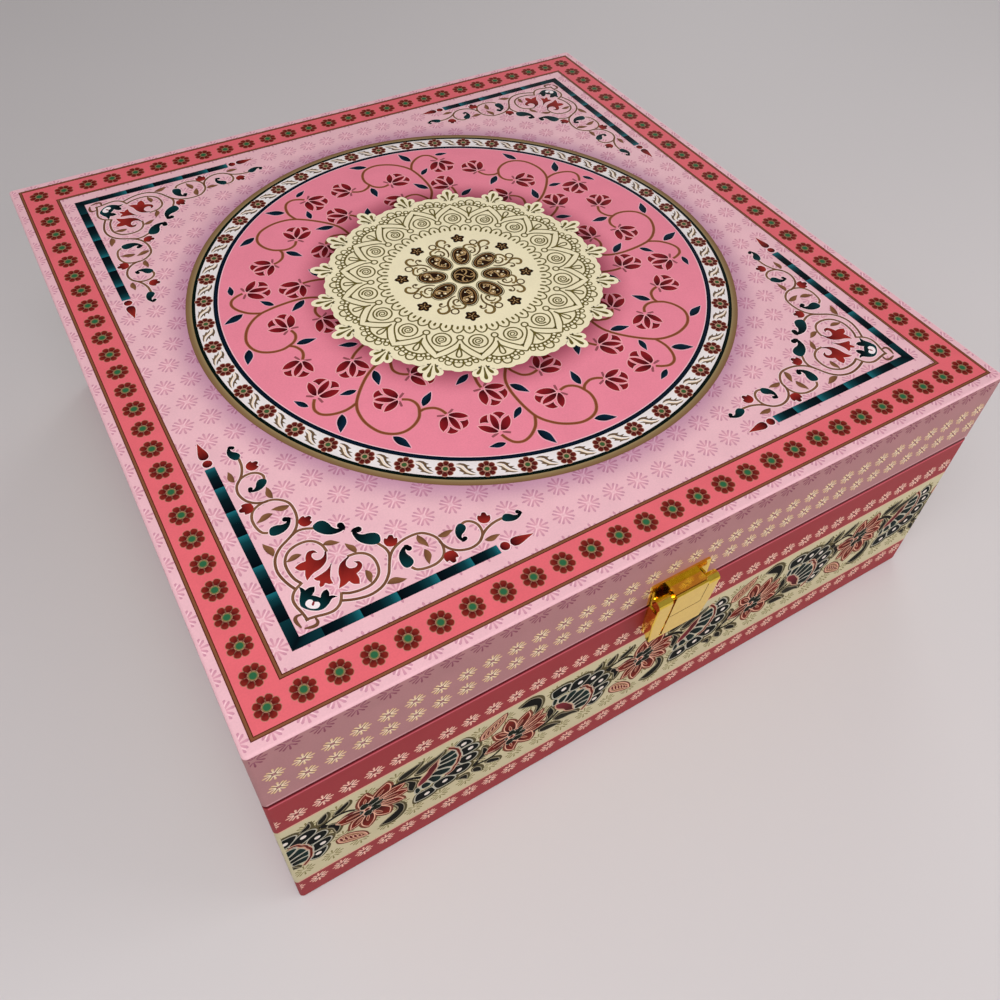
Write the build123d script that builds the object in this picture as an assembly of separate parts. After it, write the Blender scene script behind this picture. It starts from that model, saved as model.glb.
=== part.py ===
# Square paper-covered sweet box: hinged lid, brass front clasp, lift-out divider.
# Millimetres, +Z up, origin on the bottom face at the middle of the square.
import os
from build123d import *

# Whole box
box_width = 254.0
box_depth = 254.0
seam_height = 72.4
lid_height = 29.2
seam_gap = 0.3

# Boards and the paper that covers them
wall_board = 4.0
floor_board = 3.0
lid_board = 3.0
board_corner = 1.0
board_edge = 0.5
paper = 0.3
turn_in = 12.0
turn_under = 15.0
bottom_card = 0.3
card_margin = 3.0
lining = 0.3

# Lift-out divider of four slotted boards
cells_per_side = 3
divider_board = 3.0
divider_drop = 16.25
divider_end_gap = 0.6
divider_rest_gap = 0.1
divider_slot_gap = 0.15

# Butt hinges on the back
hinge_spacing = 150.0
leaf_width = 24.0
leaf_height = 13.0
leaf_sheet = 0.8
leaf_corner = 1.5
barrel_radius = 1.8
barrel_stand = 0.2
middle_knuckle = 9.5
knuckle_gap = 0.25
hinge_pin_radius = 0.9
hinge_running_gap = 0.05
hinge_pin_round = 0.3
lid_open_angle = 100.0
stop_length = 6.5
stop_gap = 0.15
leaf_nail_spacing = 15.0
leaf_nail_inset = 3.6

# Nails
nail_head_radius = 1.2
nail_head_height = 0.5
nail_dome = 0.3
nail_radius = 0.6
nail_bite = 3.0

# Clasp sheet and its pin
clasp_sheet = 0.7
clasp_edge = 0.4
clasp_stand_off = 5.4
clasp_knuckle_radius = 1.75
clasp_pin_radius = 0.9
clasp_running_gap = 0.05
clasp_side_gap = 0.12
pivot_rise = 6.0
flap_lean = 4.4

# Flap of the clasp
flap_width = 22.0
flap_foot_width = 19.4
flap_drop = 21.2
flap_straight = 10.0
flap_shoulder = 3.4
flange_clearance = 0.6

# Tongue that the lid plate folds over the flap
plate_width = 21.2
plate_rise = 11.0
plate_margin = 0.9
plate_corner = 0.8
tongue_width = 11.6
tongue_shift = 0.6
tongue_drop = 9.0
shelf_gap = 0.15
line_gap = 0.35
slit_width = 0.8
slit_end = 1.9
slit_end_radius = 0.6
tongue_gap = 0.25
ear_wall = 1.0
clasp_nail_spread = 8.2
plate_nail_drop = 3.0

# Strike on the base
strike_width = 20.0
strike_length = 13.4
strike_margin = 0.8
ledge_width = 12.0
ledge_reach = 1.2
catch_gap = 0.2
strike_nail_spread = 6.5
strike_nail_drop = 6.0

# How far a cutting solid runs past what it cuts
overrun = 2.0

# Worked out from the sizes above
box_height = seam_height + lid_height
boards_width = box_width - 2 * paper
boards_depth = box_depth - 2 * paper
hollow_width = boards_width - 2 * wall_board
hollow_depth = boards_depth - 2 * wall_board
base_rim = seam_height - seam_gap / 2
lid_rim = seam_height + seam_gap / 2
boards_low = bottom_card + paper
boards_high = box_height - paper
floor_top = boards_low + floor_board
lid_ceiling = boards_high - lid_board
clear_width = hollow_width - 2 * max(lining, paper)
clear_depth = hollow_depth - 2 * max(lining, paper)
hinge_out = barrel_radius + barrel_stand
pivot_height = seam_height + pivot_rise
pivot_out = clasp_stand_off - clasp_knuckle_radius
tongue_left = tongue_shift - tongue_width / 2
tongue_right = tongue_shift + tongue_width / 2
notch_left = tongue_left - slit_width
notch_right = tongue_right + tongue_gap
flap_bottom = pivot_height - flap_drop
strike_top = seam_height - strike_margin
strike_bottom = strike_top - strike_length

# Local frames on the front and the back: x along the face, y up, z outwards
front = Plane(origin=(0, -box_depth / 2, 0), x_dir=(1, 0, 0), z_dir=(0, -1, 0))
back = Plane(origin=(0, box_depth / 2, 0), x_dir=(-1, 0, 0), z_dir=(0, 1, 0))


def cuboid(low, high):
    centre = [(a + b) / 2 for a, b in zip(low, high)]
    return Pos(*centre) * Box(*[b - a for a, b in zip(low, high)])


def centred(width, depth, low, high):
    return cuboid((-width / 2, -depth / 2, low), (width / 2, depth / 2, high))


def rod(left, right, height, out, radius):
    return Pos((left + right) / 2, height, out) * Rot(0, 90, 0) * Cylinder(radius, right - left)


def turned(shape, height, out, angle):
    return Pos(0, height, out) * Rot(angle, 0, 0) * Pos(0, -height, -out) * shape


# A block with eased corners and edges, as much larger than the boards as the skin is thick
def eased_block(skin, low, high):
    body = centred(boards_width + 2 * skin, boards_depth + 2 * skin, low, high)
    body = fillet(body.edges().filter_by(Axis.Z), board_corner + skin)
    ends = body.edges().group_by(Axis.Z)
    return fillet(ends[0] + ends[-1], board_edge + skin)


# Four wall boards cut from a block: front and back run right across
def wall_boards(core, low, high):
    half_width = boards_width / 2
    half_depth = boards_depth / 2
    inner_width = half_width - wall_board
    inner_depth = half_depth - wall_board
    return {
        "front": core & cuboid((-half_width, -half_depth, low), (half_width, -inner_depth, high)),
        "back": core & cuboid((-half_width, inner_depth, low), (half_width, half_depth, high)),
        "left": core & cuboid((-half_width, -inner_depth, low), (-inner_width, inner_depth, high)),
        "right": core & cuboid((inner_width, -inner_depth, low), (half_width, inner_depth, high)),
    }


# Paper round the boards, over the rim and down inside it
def paper_cover(low, high, rim, inwards):
    skin = eased_block(paper, low, high) - eased_block(0, low + paper, high - paper)
    mouth_low, mouth_high = sorted((rim + inwards * turn_in, rim - inwards * overrun))
    skin -= centred(hollow_width - 2 * paper, hollow_depth - 2 * paper, mouth_low, mouth_high)
    band_low, band_high = sorted((rim, rim + inwards * turn_in))
    band = centred(hollow_width, hollow_depth, band_low, band_high)
    band -= centred(hollow_width - 2 * paper, hollow_depth - 2 * paper, band_low, band_high)
    return skin + band


# Lining paper: one sheet across and four up the walls, to the edge of the turned-in paper
def lining_tray(closed, open_end):
    low, high = sorted((closed, open_end))
    tray = centred(hollow_width, hollow_depth, low, high)
    toward = lining if closed < open_end else -lining
    hollow_low, hollow_high = sorted((closed + toward, open_end))
    return tray - centred(hollow_width - 2 * lining, hollow_depth - 2 * lining, hollow_low, hollow_high)


def divider_boards():
    low = floor_top + lining + divider_rest_gap
    high = base_rim - divider_drop
    middle = (low + high) / 2
    half_board = divider_board / 2
    half_slot = half_board + divider_slot_gap
    walls = cells_per_side - 1
    offset_across = (clear_depth - walls * divider_board) / cells_per_side / 2 + half_board
    offset_along = (clear_width - walls * divider_board) / cells_per_side / 2 + half_board
    half_length = clear_width / 2 - divider_end_gap
    half_reach = clear_depth / 2 - divider_end_gap
    boards = {}
    for name, side in (("front", -1), ("rear", 1)):
        y = side * offset_across
        board = cuboid((-half_length, y - half_board, low), (half_length, y + half_board, high))
        for other in (-1, 1):
            x = other * offset_along
            slot_low = (x - half_slot, y - divider_board, middle - divider_slot_gap)
            board -= cuboid(slot_low, (x + half_slot, y + divider_board, high + overrun))
        boards["divider_" + name] = board
    for name, side in (("left", -1), ("right", 1)):
        x = side * offset_along
        board = cuboid((x - half_board, -half_reach, low), (x + half_board, half_reach, high))
        for other in (-1, 1):
            y = other * offset_across
            slot_low = (x - divider_board, y - half_slot, low - overrun)
            board -= cuboid(slot_low, (x + divider_board, y + half_slot, middle + divider_slot_gap))
        boards["divider_" + name] = board
    return boards


# A nail whose head rests on a face at local height 0 and whose shank points inwards
def nail(sheet):
    head = extrude(Circle(nail_head_radius), nail_head_height)
    head = fillet(head.edges().group_by(Axis.Z)[-1], nail_dome)
    return head + extrude(Circle(nail_radius), -(sheet + paper + nail_bite))


def nails_at(face, sheet, places):
    return [face * Pos(x, height, sheet) * nail(sheet) for x, height in places]


def without(shape, cutters):
    for cutter in cutters:
        shape = shape - cutter
    return shape


# Knuckle tube with the strip that joins it to its leaf, above or below the pin
def knuckle(left, right, upwards):
    root_low, root_high = sorted((seam_height, seam_height + upwards * hinge_out))
    root = cuboid((left, root_low, 0), (right, root_high, leaf_sheet))
    return root + rod(left, right, seam_height, hinge_out, barrel_radius)


def leaf_plate(upwards):
    low, high = sorted((seam_height + upwards * hinge_out, seam_height + upwards * leaf_height))
    plate = cuboid((-leaf_width / 2, low, 0), (leaf_width / 2, high, leaf_sheet))
    outer = plate.edges().filter_by(Axis.Z).group_by(Axis.Y)[-1 if upwards > 0 else 0]
    return fillet(outer, leaf_corner)


def base_leaf():
    half = leaf_width / 2
    inner = middle_knuckle / 2 + knuckle_gap
    leaf = leaf_plate(-1) + knuckle(-half, -inner, -1) + knuckle(inner, half, -1)
    return leaf - rod(-half, half, seam_height, hinge_out, hinge_pin_radius)


# The stop tab is drawn with the lid open, against the lower leaf, and turned back to rest
def lid_leaf():
    half = middle_knuckle / 2
    tab_in = leaf_sheet + stop_gap
    tab_low = (-half, seam_height - stop_length, tab_in)
    tab = cuboid(tab_low, (half, seam_height, tab_in + leaf_sheet))
    leaf = leaf_plate(1) + knuckle(-half, half, 1)
    leaf += turned(tab, seam_height, hinge_out, -lid_open_angle)
    return leaf - rod(-half, half, seam_height, hinge_out, hinge_pin_radius + hinge_running_gap)


def hinge_pin():
    pin = rod(-leaf_width / 2, leaf_width / 2, seam_height, hinge_out, hinge_pin_radius)
    return fillet(pin.edges().filter_by(GeomType.CIRCLE), hinge_pin_round)


def leaf_nail_places(x, upwards):
    height = seam_height + upwards * (leaf_height - leaf_nail_inset)
    return [(x - leaf_nail_spacing / 2, height), (x + leaf_nail_spacing / 2, height)]


# Front view of the flap, made smaller all round by an inset
def flap_outline(inset, top):
    half = flap_width / 2 - inset
    foot = flap_foot_width / 2 - inset
    bend = pivot_height - flap_straight
    low = flap_bottom + inset
    points = [(-half, top), (half, top), (half, bend), (foot, low), (-foot, low), (-half, bend)]
    return make_face(Polyline(*points, close=True))


def clasp_flap():
    face_back = clasp_stand_off - clasp_sheet
    shell = extrude(flap_outline(0, pivot_height), clasp_stand_off)
    face = shell.faces().sort_by(Axis.Z)[-1]
    rounded = face.edges().sort_by(Axis.Y)[:-1]
    shell = fillet(rounded, clasp_edge)
    hollow = extrude(flap_outline(clasp_sheet, pivot_height + overrun), face_back + overrun)
    shell -= Pos(0, 0, -overrun) * hollow
    shoulder = pivot_height - flap_shoulder
    shell -= cuboid((-flap_width, shoulder, -overrun), (flap_width, pivot_height + overrun, face_back))
    line = pivot_height - tongue_drop - line_gap
    notch_top = pivot_height + overrun
    shell -= cuboid((notch_left, line, 0), (notch_right, notch_top, clasp_stand_off + overrun))
    slit_low = flap_bottom + slit_end
    shell -= cuboid((notch_left, slit_low, face_back - overrun), (tongue_left, line, clasp_stand_off + overrun))
    slit_middle = (notch_left + tongue_left) / 2
    round_end = extrude(Circle(slit_end_radius), clasp_sheet + 2 * overrun)
    shell -= Pos(slit_middle, slit_low, face_back - overrun) * round_end
    flap = turned(shell, pivot_height, pivot_out, flap_lean)
    keep_out = clasp_sheet + flange_clearance
    flap -= cuboid((-flap_width, flap_bottom - overrun, -flap_drop), (flap_width, pivot_height, keep_out))
    lip_top = strike_bottom + clasp_sheet
    lip_in = clasp_sheet + ledge_reach + catch_gap
    flap -= cuboid((-ledge_width, flap_bottom - overrun, -flap_drop), (ledge_width, lip_top, lip_in))
    for left, right in ((-flap_width / 2, notch_left - clasp_side_gap),
                        (notch_right + clasp_side_gap, flap_width / 2)):
        flap += rod(left, right, pivot_height, pivot_out, clasp_knuckle_radius)
    bore = clasp_pin_radius + clasp_running_gap
    return flap - rod(-flap_width, flap_width, pivot_height, pivot_out, bore)


# Lid plate with the tongue: a shelf, an apron over the flap and two ears for the pin
def clasp_lid_plate():
    half = plate_width / 2
    plate = cuboid((-half, seam_height + plate_margin, 0), (half, seam_height + plate_rise, clasp_sheet))
    plate = fillet(plate.edges().filter_by(Axis.Z).group_by(Axis.Y)[-1], plate_corner)
    shelf_low = pivot_height + clasp_knuckle_radius + shelf_gap
    shelf_high = shelf_low + clasp_sheet
    apron_back = clasp_stand_off - clasp_sheet
    shelf = cuboid((tongue_left, shelf_low, 0), (tongue_right, shelf_high, apron_back))
    apron = cuboid((tongue_left, pivot_height - tongue_drop, apron_back),
                   (tongue_right, shelf_high, clasp_stand_off))
    apron = fillet(apron.edges().filter_by(Axis.X).sort_by(Axis.Y)[-2:].sort_by(Axis.Z)[-1], clasp_edge)
    plate += shelf + turned(apron, pivot_height, pivot_out, flap_lean)
    ear_radius = clasp_pin_radius + ear_wall
    for left in (tongue_left, tongue_right - clasp_sheet):
        right = left + clasp_sheet
        ear = cuboid((left, pivot_height, 0), (right, shelf_high, apron_back))
        ear += cuboid((left, pivot_height - ear_radius, 0), (right, pivot_height, pivot_out))
        ear += rod(left, right, pivot_height, pivot_out, ear_radius)
        plate += ear & cuboid((left, flap_bottom, 0), (right, shelf_high, apron_back))
    return plate - rod(tongue_left, tongue_right, pivot_height, pivot_out, clasp_pin_radius)


# Strike: a plate whose foot is bent out into the ledge that the flap's lip snaps under
def clasp_strike():
    half = strike_width / 2
    plate = cuboid((-half, strike_bottom, 0), (half, strike_top, clasp_sheet))
    plate = fillet(plate.edges().filter_by(Axis.Z), plate_corner)
    ledge_low = (-ledge_width / 2, strike_bottom, 0)
    return plate + cuboid(ledge_low, (ledge_width / 2, strike_bottom + clasp_sheet, clasp_sheet + ledge_reach))


# Nails first, because their holes go through the fittings, the paper and the boards
hinge_places = (-hinge_spacing / 2, hinge_spacing / 2)
base_leaf_places = [place for x in hinge_places for place in leaf_nail_places(x, -1)]
lid_leaf_places = [place for x in hinge_places for place in leaf_nail_places(x, 1)]
plate_nail_height = pivot_height - plate_nail_drop
strike_nail_height = strike_top - strike_nail_drop
hinge_base_nails = nails_at(back, leaf_sheet, base_leaf_places)
hinge_lid_nails = nails_at(back, leaf_sheet, lid_leaf_places)
clasp_lid_nails = nails_at(front, clasp_sheet, [(-clasp_nail_spread, plate_nail_height),
                                                (clasp_nail_spread, plate_nail_height)])
clasp_strike_nails = nails_at(front, clasp_sheet, [(-strike_nail_spread, strike_nail_height),
                                                   (strike_nail_spread, strike_nail_height)])
nodes = {}

# Base: floor and walls, printed cover, bottom card and lining
base_core = eased_block(0, boards_low, base_rim - paper)
base_walls = wall_boards(base_core, boards_low, base_rim)
base_walls["front"] = without(base_walls["front"], clasp_strike_nails)
base_walls["back"] = without(base_walls["back"], hinge_base_nails)
for side, wall in base_walls.items():
    nodes["base_wall_" + side] = wall
nodes["base_floor"] = centred(hollow_width, hollow_depth, boards_low, floor_top)
base_wrap = paper_cover(bottom_card, base_rim, base_rim, -1)
window_width = boards_width - 2 * turn_under
window_depth = boards_depth - 2 * turn_under
base_wrap -= centred(window_width, window_depth, bottom_card - overrun, boards_low)
nodes["base_wrap"] = without(base_wrap, clasp_strike_nails + hinge_base_nails)
bottom_sheet = centred(box_width - 2 * card_margin, box_depth - 2 * card_margin, 0, bottom_card)
nodes["base_bottom_card"] = bottom_sheet + centred(window_width, window_depth, 0, boards_low)
nodes["base_lining"] = lining_tray(floor_top, base_rim - turn_in)
nodes.update(divider_boards())

# Lid: panel and walls, printed cover and lining
lid_core = eased_block(0, lid_rim + paper, boards_high)
lid_walls = wall_boards(lid_core, lid_rim, lid_ceiling)
lid_walls["front"] = without(lid_walls["front"], clasp_lid_nails)
lid_walls["back"] = without(lid_walls["back"], hinge_lid_nails)
for side, wall in lid_walls.items():
    nodes["lid_wall_" + side] = wall
nodes["lid_panel"] = lid_core & centred(box_width, box_depth, lid_ceiling, box_height)
lid_wrap = paper_cover(lid_rim, box_height, lid_rim, 1)
nodes["lid_wrap"] = without(lid_wrap, clasp_lid_nails + hinge_lid_nails)
nodes["lid_lining"] = lining_tray(lid_ceiling, lid_rim + turn_in)

# Fittings
for name, x in zip(("left", "right"), reversed(hinge_places)):
    place = back * Pos(x, 0, 0)
    nodes["hinge_%s_base_leaf" % name] = without(place * base_leaf(), hinge_base_nails)
    nodes["hinge_%s_lid_leaf" % name] = without(place * lid_leaf(), hinge_lid_nails)
    nodes["hinge_%s_pin" % name] = place * hinge_pin()
nodes["hinge_base_nails"] = Compound(children=hinge_base_nails)
nodes["hinge_lid_nails"] = Compound(children=hinge_lid_nails)
nodes["clasp_lid_plate"] = without(front * clasp_lid_plate(), clasp_lid_nails)
nodes["clasp_flap"] = front * clasp_flap()
pin_half = flap_width / 2
nodes["clasp_pin"] = front * rod(-pin_half, pin_half, pivot_height, pivot_out, clasp_pin_radius)
nodes["clasp_strike"] = without(front * clasp_strike(), clasp_strike_nails)
nodes["clasp_lid_nails"] = Compound(children=clasp_lid_nails)
nodes["clasp_strike_nails"] = Compound(children=clasp_strike_nails)

os.makedirs("parts", exist_ok=True)
for name, shape in nodes.items():
    export_step(shape, "parts/%s.step" % name)
    print(name, len(shape.solids()), round(shape.volume, 2))
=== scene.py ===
# Sweet box: fibreboard covered in printed art paper, with a gold-plated snap clasp
import math

import bpy
from mathutils import Matrix, Vector


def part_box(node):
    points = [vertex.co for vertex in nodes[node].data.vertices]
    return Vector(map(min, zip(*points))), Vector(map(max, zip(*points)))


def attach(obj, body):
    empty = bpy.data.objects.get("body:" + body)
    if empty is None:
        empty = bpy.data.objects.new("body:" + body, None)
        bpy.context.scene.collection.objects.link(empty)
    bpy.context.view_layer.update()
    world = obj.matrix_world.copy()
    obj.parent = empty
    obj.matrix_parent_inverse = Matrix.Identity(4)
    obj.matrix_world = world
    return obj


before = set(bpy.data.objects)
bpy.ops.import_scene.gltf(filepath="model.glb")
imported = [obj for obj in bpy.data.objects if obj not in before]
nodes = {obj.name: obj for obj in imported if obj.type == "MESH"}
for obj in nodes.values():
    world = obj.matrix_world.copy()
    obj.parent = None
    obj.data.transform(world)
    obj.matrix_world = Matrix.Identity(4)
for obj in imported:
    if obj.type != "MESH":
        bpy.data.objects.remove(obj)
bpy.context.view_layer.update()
print("frame loaded:", len(nodes), "nodes")

mm = 0.001

# camera, set to the photograph's view: place in mm, the three directions of the picture
camera = {
    "place": (-125.5, -223.4, 300.4),
    "right": (0.8623, -0.5056, 0.0270),
    "down": (-0.3589, -0.6481, -0.6717),
    "forward": (0.3571, 0.5695, -0.7404),
    "lens": 32.9,
    "sensor": 36.0,
    "shift": (0.0066, -0.0633),
    "clip": (0.01, 20.0),
}


def addCamera():
    data = bpy.data.cameras.new("camera")
    data.lens = camera["lens"]
    data.sensor_width = camera["sensor"]
    data.shift_x, data.shift_y = camera["shift"]
    data.clip_start, data.clip_end = camera["clip"]
    shot = bpy.data.objects.new("camera", data)
    bpy.context.scene.collection.objects.link(shot)
    right, down, forward = (Vector(camera[k]).normalized() for k in ("right", "down", "forward"))
    turn = Matrix((right, -down, -forward)).transposed()
    shot.matrix_world = Matrix.Translation(Vector(camera["place"]) * mm) @ turn.to_4x4()
    bpy.context.scene.camera = shot


addCamera()
bpy.context.scene.view_settings.view_transform = "Standard"


def toLinear(code):
    # an sRGB hex colour as the linear numbers that the shaders use
    parts = [int(code[i:i + 2], 16) / 255 for i in (1, 3, 5)]
    return tuple(c / 12.92 if c <= 0.04045 else ((c + 0.055) / 1.055) ** 2.4 for c in parts) + (1.0,)


def addNode(tree, kind, inputs=None, stops=None, **settings):
    # one node with its settings; an input is a number, a colour or another node's output
    node = tree.nodes.new(kind)
    for name, value in settings.items():
        setattr(node, name, value)
    for name, value in (inputs or {}).items():
        if isinstance(value, bpy.types.NodeSocket):
            tree.links.new(value, node.inputs[name])
        else:
            node.inputs[name].default_value = value
    for i, (place, code) in enumerate(stops or []):
        ramp = node.color_ramp.elements
        stop = ramp[i] if i < 2 else ramp.new(place)
        stop.position, stop.color = place, toLinear(code)
    return node


def newMaterial(name):
    material = bpy.data.materials.new(name)
    material.use_nodes = True
    tree = material.node_tree
    tree.nodes.clear()
    return material, tree, addNode(tree, "ShaderNodeTexCoord").outputs["Object"]


def closeMaterial(tree, surface):
    # the last nodes of a material: its surface, with all that it takes, and the output
    shader = addNode(tree, "ShaderNodeBsdfPrincipled", surface)
    out = addNode(tree, "ShaderNodeOutputMaterial", {"Surface": shader.outputs["BSDF"]})
    out.is_active_output = True


def radiusFrom(tree, where):
    # distance from the box's upright middle line, in metres
    flat = addNode(tree, "ShaderNodeVectorMath", {0: where, 1: (1.0, 1.0, 0.0)}, operation="MULTIPLY")
    return addNode(tree, "ShaderNodeVectorMath", {0: flat.outputs[0]}, operation="LENGTH").outputs["Value"]


# printed soft shadows: round the disc on the paper, and round the medallion on the disc, radii in mm
printedShadows = {
    "disc": {"from": 92.5, "to": 104.0, "most": 0.85, "colour": "#C2B0CE", "inks": ("sprig", "sprig_rays")},
    "medallion": {
        "from": 45.0, "to": 60.0, "most": 0.95, "colour": "#9C7284",
        "inks": ("disc_field", "disc_vine", "disc_vine_core", "disc_leaf", "leaf_halo", "lotus", "lotus_halo",
                 "lotus_sepal"),
    },
}


def underShadow(tree, where, colour, name):
    # the colour with a printed shadow multiplied over it
    shadow = printedShadows[name]
    depth = addNode(tree, "ShaderNodeMapRange", {
        "Value": radiusFrom(tree, where), "From Min": shadow["from"] * mm, "From Max": shadow["to"] * mm,
        "To Min": shadow["most"], "To Max": 0.0,
    }, interpolation_type="SMOOTHSTEP")
    return addNode(tree, "ShaderNodeMix", {
        "Factor": depth.outputs["Result"], 6: colour, 7: toLinear(shadow["colour"]),
    }, data_type="RGBA", blend_type="MULTIPLY").outputs[2]


# Matt-laminated art paper, offset printed: a faint tooth from the sheet, and ink that lies unevenly;
# sizes in mm
paperFinish = {
    "roughness": 0.5, "shine": 0.13, "inkShine": 0.02, "foilRoughness": 0.36, "tooth": 0.35, "strength": 0.6,
    "toothDepth": 0.006, "cloud": 9.0, "speck": 0.5, "noise": (0.6, 1.4), "uneven": (0.94, 1.05),
}


def finishPaper(tree, where, colour, surface):
    cloud = addNode(tree, "ShaderNodeTexNoise", {
        "Vector": where, "Scale": 1000 / paperFinish["cloud"], "Detail": 2.0,
    })
    speck = addNode(tree, "ShaderNodeTexNoise", {
        "Vector": where, "Scale": 1000 / paperFinish["speck"], "Detail": 1.0,
    })
    both = addNode(tree, "ShaderNodeMath", {0: cloud.outputs["Fac"], 1: speck.outputs["Fac"]},
                   operation="ADD")
    (low, high), (dark, light) = paperFinish["noise"], paperFinish["uneven"]
    level = addNode(tree, "ShaderNodeMapRange", {
        "Value": both.outputs[0], "From Min": low, "From Max": high, "To Min": dark, "To Max": light,
    })
    inked = addNode(tree, "ShaderNodeVectorMath", {0: colour, "Scale": level.outputs["Result"]},
                    operation="SCALE")
    tooth = addNode(tree, "ShaderNodeTexNoise", {
        "Vector": where, "Scale": 1000 / paperFinish["tooth"], "Detail": 3.0,
    })
    bump = addNode(tree, "ShaderNodeBump", {
        "Height": tooth.outputs["Fac"], "Strength": paperFinish["strength"],
        "Distance": paperFinish["toothDepth"] * mm,
    })
    closeMaterial(tree, {
        "Base Color": inked.outputs[0], "Normal": bump.outputs["Normal"],
        "Roughness": paperFinish["roughness"], "Specular IOR Level": paperFinish["shine"], **surface,
    })


# The inks: order of printing, then the deep and the pale end of the tone
inks = {
    "sprig": (1, "#CC8FA2", "#E4A4B3"),
    "sprig_rays": (2, "#F4C2CC", "#F6C8D0"),
    "coral": (4, "#E4666F", "#E66C76"),
    "line": (5, "#56200F", "#6A3420"),
    "line_gold": (6, "#7A4A30", "#825238"),
    "halo": (4, "#F6CED2", "#FADADC"),
    "rosette_petal": (5, "#3E0C0A", "#80241F"),
    "rosette_edge": (6, "#A0705A", "#A87862"),
    "rosette_ring": (7, "#6E6A3C", "#7A7446"),
    "rosette_eye": (8, "#1E5236", "#2E6442"),
    "bar": (5, "#03070F", "#1B6973"),
    "vine": (5, "#66402C", "#865E44"),
    "vine_leaf": (5, "#5E3A26", "#865C3E"),
    "teal": (6, "#020509", "#0B373B"),
    "red": (6, "#32040B", "#9A2A24"),
    "white": (7, "#F4E0E4", "#F8EAEC"),
    "heart_stem": (8, "#8A3038", "#8A3038"),
    "disc_rim": (4, "#7C5A3C", "#98845E"),
    "disc_dark": (5, "#010403", "#04140F"),
    "disc_white": (5, "#E8DEDE", "#EEE6E6"),
    "disc_field": (5, "#EA8297", "#F08EA1"),
    "disc_navy": (6, "#010207", "#081A2C"),
    "disc_pale": (6, "#F4BCC8", "#F6C6D0"),
    "band_vein": (6, "#F2DECA", "#F2DECA"),
    "band_petal": (7, "#2E0A08", "#66201C"),
    "band_leaf": (7, "#5A4430", "#80684E"),
    "band_edge": (8, "#B88A72", "#C0927A"),
    "band_eye": (9, "#2A4A2A", "#3A5A32"),
    "disc_vine": (6, "#A87A5A", "#B08262"),
    "disc_vine_core": (7, "#7C3E26", "#8A482E"),
    "lotus_sepal": (7, "#86484E", "#965058"),
    "leaf_halo": (8, "#E6A8B6", "#EEB2C0"),
    "disc_leaf": (9, "#010308", "#0B2538"),
    "lotus": (8, "#28040A", "#8C1A22"),
    "lotus_halo": (9, "#F0A0A8", "#F4AAB0"),
    "cream": (10, "#EFE2BC", "#F8EDCC"),
    "olive_scale": (11, "#574C22", "#6E6230"),
    "bead_scale": (12, "#F0E4C0", "#F8EDCC"),
    "olive": (13, "#50431C", "#665A2A"),
    "scroll": (13, "#4A3416", "#866E3E"),
    "umber": (12, "#1A0B03", "#341C0A"),
    "filigree": (13, "#7A5630", "#C4A270"),
    "bead": (14, "#F0E4C0", "#F8EDCC"),
    # painted shade: the top's sprig, darker where its row runs down the lid's sides
    "painted_shade_side_sprig": (1, "#8A4E5C", "#96586A"),
    "sprig_gap": (1, "#7E5048", "#7E5048"),
    "gold_sprig": (2, "#E4BC88", "#FFEFCE"),
    "red_gap": (1, "#5E1C1A", "#5E1C1A"),
    "cream_sprig": (2, "#F0B4A0", "#FCD6C4"),
    # painted highlight: a bright line along the base's rounded top edge, just under the seam
    "seam_painted_highlight": (1, "#C85C68", "#C85C68"),
    # painted highlight: a pale strip along the lid's rounded lower edge
    "painted_highlight_lid_edge": (1, "#CC969A", "#CC969A"),
    "olive_sprig": (1, "#7E7444", "#A0966A"),
    "red_sprig": (1, "#8E3834", "#A04840"),
    "band_hem": (2, "#E2B09A", "#E2B09A"),
    "wash": (2, "#746A46", "#483E26"),
    "flower_wash": (3, "#70382A", "#8A4A36"),
    "flower": (4, "#300A06", "#86261C"),
    "dark_leaf": (4, "#050505", "#26241C"),
    "fan": (4, "#040707", "#0C2A27"),
    "fan_red": (4, "#4A1416", "#7E2A34"),
    "spray_ground": (4, "#9A6E50", "#A87C5C"),
    "flower_line": (6, "#D89E84", "#E8B298"),
    "leaf_line": (6, "#8A8068", "#9C927A"),
    "fan_line": (6, "#A8A494", "#BAB6A6"),
    "fan_pink": (6, "#C8987E", "#D0A088"),
    "flower_core": (7, "#8A3C2C", "#8A3C2C"),
    "spray": (7, "#4E120E", "#641A16"),
    "ribbon": (7, "#50140E", "#661E16"),
    "flower_eye": (7, "#060A06", "#1A261A"),
    "fan_eye": (8, "#DCD0C8", "#EADFD6"),
}
# inks that are part hot-stamped gold foil, which takes its brightness from what it mirrors
foil = {"gold_sprig": 0.3, "cream_sprig": 0.2}
inkMaterials = {}


def inkMaterial(name):
    if name in inkMaterials:
        return inkMaterials[name]
    deep, pale = inks[name][1:]
    material, tree, where = newMaterial("offset_ink_" + name)
    tone = addNode(tree, "ShaderNodeAttribute", attribute_name="tone")
    colour = addNode(tree, "ShaderNodeMix", {
        "Factor": tone.outputs["Fac"], 6: toLinear(deep), 7: toLinear(pale),
    }, data_type="RGBA").outputs[2]
    for place, shadow in printedShadows.items():
        if name in shadow["inks"]:
            colour = underShadow(tree, where, colour, place)
    surface = {"Specular IOR Level": paperFinish["inkShine"]}
    if name in foil:
        surface.update({"Metallic": foil[name], "Roughness": paperFinish["foilRoughness"]})
    finishPaper(tree, where, colour, surface)
    inkMaterials[name] = material
    return material


layerGap = 0.005  # mm between two printings
hairGap = 0.0005  # mm between shapes of one ink, so that no two that overlap share a plane
hairSteps = 9  # shapes, then the rises start again
quarterTurns = ((1, 0), (0, 1), (-1, 0), (0, -1))  # cosine and sine

# drawing in mm: a sheet holds points, faces and a tone for each point, and a motif is a
# dictionary of one sheet for each ink


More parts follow.
